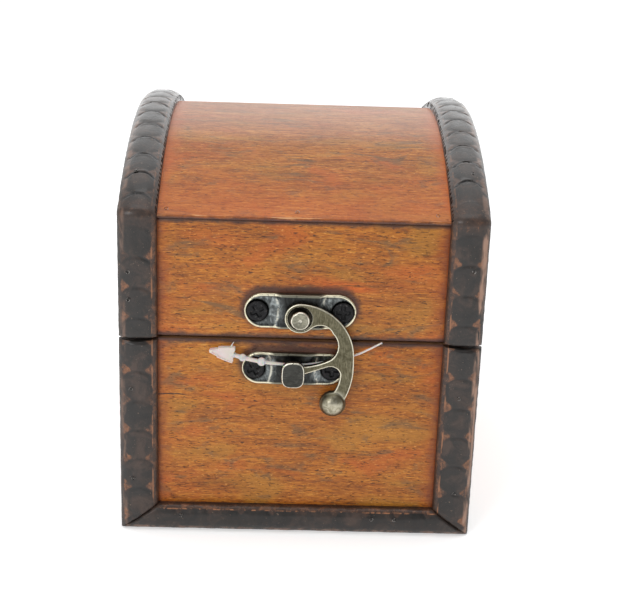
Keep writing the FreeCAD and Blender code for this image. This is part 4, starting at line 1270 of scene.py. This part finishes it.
# ================================================================ floor, light and camera
def floor():
    """A pale sheet, lit from within a little so that its shadows stay faint."""
    size = 3.0
    corners = [(-size, -size, 0), (size, -size, 0), (size, size, 0), (-size, size, 0)]
    paper = Shader("pale_floor")
    tone = paper.noise(cube(60), 2)
    paper.set(Base_Color=paper.mix(tone, cube(0.90), cube(0.93)), Roughness=0.8)
    paper.set(Emission_Color=cube(1), Emission_Strength=0.45)
    add_piece("floor", corners, [(0, 1, 2, 3)], paper.material)


def soft_light(name, location, size, energy):
    """A white rectangular lamp aimed at the middle of the box."""
    target = Vector((0, 0, 0.06))
    data = bpy.data.lights.new(name, "AREA")
    data.shape = "RECTANGLE"
    data.size, data.size_y = size
    data.energy = energy
    lamp = bpy.data.objects.new(name, data)
    bpy.context.scene.collection.objects.link(lamp)
    lamp.location = location
    lamp.rotation_euler = (target - Vector(location)).to_track_quat("-Z", "Y").to_euler()


def studio():
    """A white studio, brightest behind and above the box and dimmer on the camera's side."""
    world = bpy.data.worlds.new("white_studio")
    bpy.context.scene.world = world
    world.use_nodes = True
    tree = world.node_tree
    background = tree.nodes["Background"]
    direction = tree.nodes.new("ShaderNodeTexCoord").outputs["Generated"]
    split = tree.nodes.new("ShaderNodeSeparateXYZ")
    tree.links.new(direction, split.inputs[0])
    strength = tree.nodes.new("ShaderNodeMapRange")
    tree.links.new(split.outputs["Y"], strength.inputs[0])
    for socket, number in zip(strength.inputs[1:5], (-0.6, 0.4, 0.22, 1.05)):
        socket.default_value = number
    background.inputs["Color"].default_value = (1, 1, 1, 1)
    tree.links.new(strength.outputs[0], background.inputs["Strength"])
    soft_light("overhead", (0.0, -0.10, 0.70), (0.5, 0.4), 1.2)
    soft_light("front_left", (-0.45, -0.75, 0.45), (0.35, 0.35), 2.6)
    bpy.context.scene.view_settings.view_transform = "Standard"


def camera():
    """The viewpoint: a little above the box and almost straight in front."""
    azimuth, elevation, roll = math.radians(-1.29), math.radians(20.19), math.radians(1.94)
    distance = 355.6 * MM
    aim = Vector((2.64 * MM, -HALF_DEPTH, 64.85 * MM))
    back = Vector((math.sin(azimuth) * math.cos(elevation), -math.cos(azimuth) * math.cos(elevation),
                   math.sin(elevation)))
    level = Vector((math.cos(azimuth), math.sin(azimuth), 0))
    upward = back.cross(level)
    right = math.cos(roll) * level + math.sin(roll) * upward
    up = math.cos(roll) * upward - math.sin(roll) * level
    data = bpy.data.cameras.new("view")
    data.sensor_width = 36
    data.lens = 81.8
    data.clip_start = 0.01
    view = bpy.data.objects.new("view", data)
    bpy.context.scene.collection.objects.link(view)
    turn = Matrix((right, up, back)).transposed().to_4x4()
    view.matrix_world = Matrix.Translation(aim + back * distance) @ turn
    bpy.context.scene.camera = view


camera()
studio()
floor()
boards()
hinge_materials()
vault_panel()
upright_strips()
end_strips()
vault_strips()
latch_plate("latch_plate", "lid", LATCH_HUMP)
latch_plate("catch_plate", "base", CATCH_HUMP)
all_screws()
rivet()
catch_post()
cast_hook()
brads("base_front_brads", "base")
brads("lid_front_brads", "lid")
brads("lid_vault_brads", "lid")
tag_fastener()
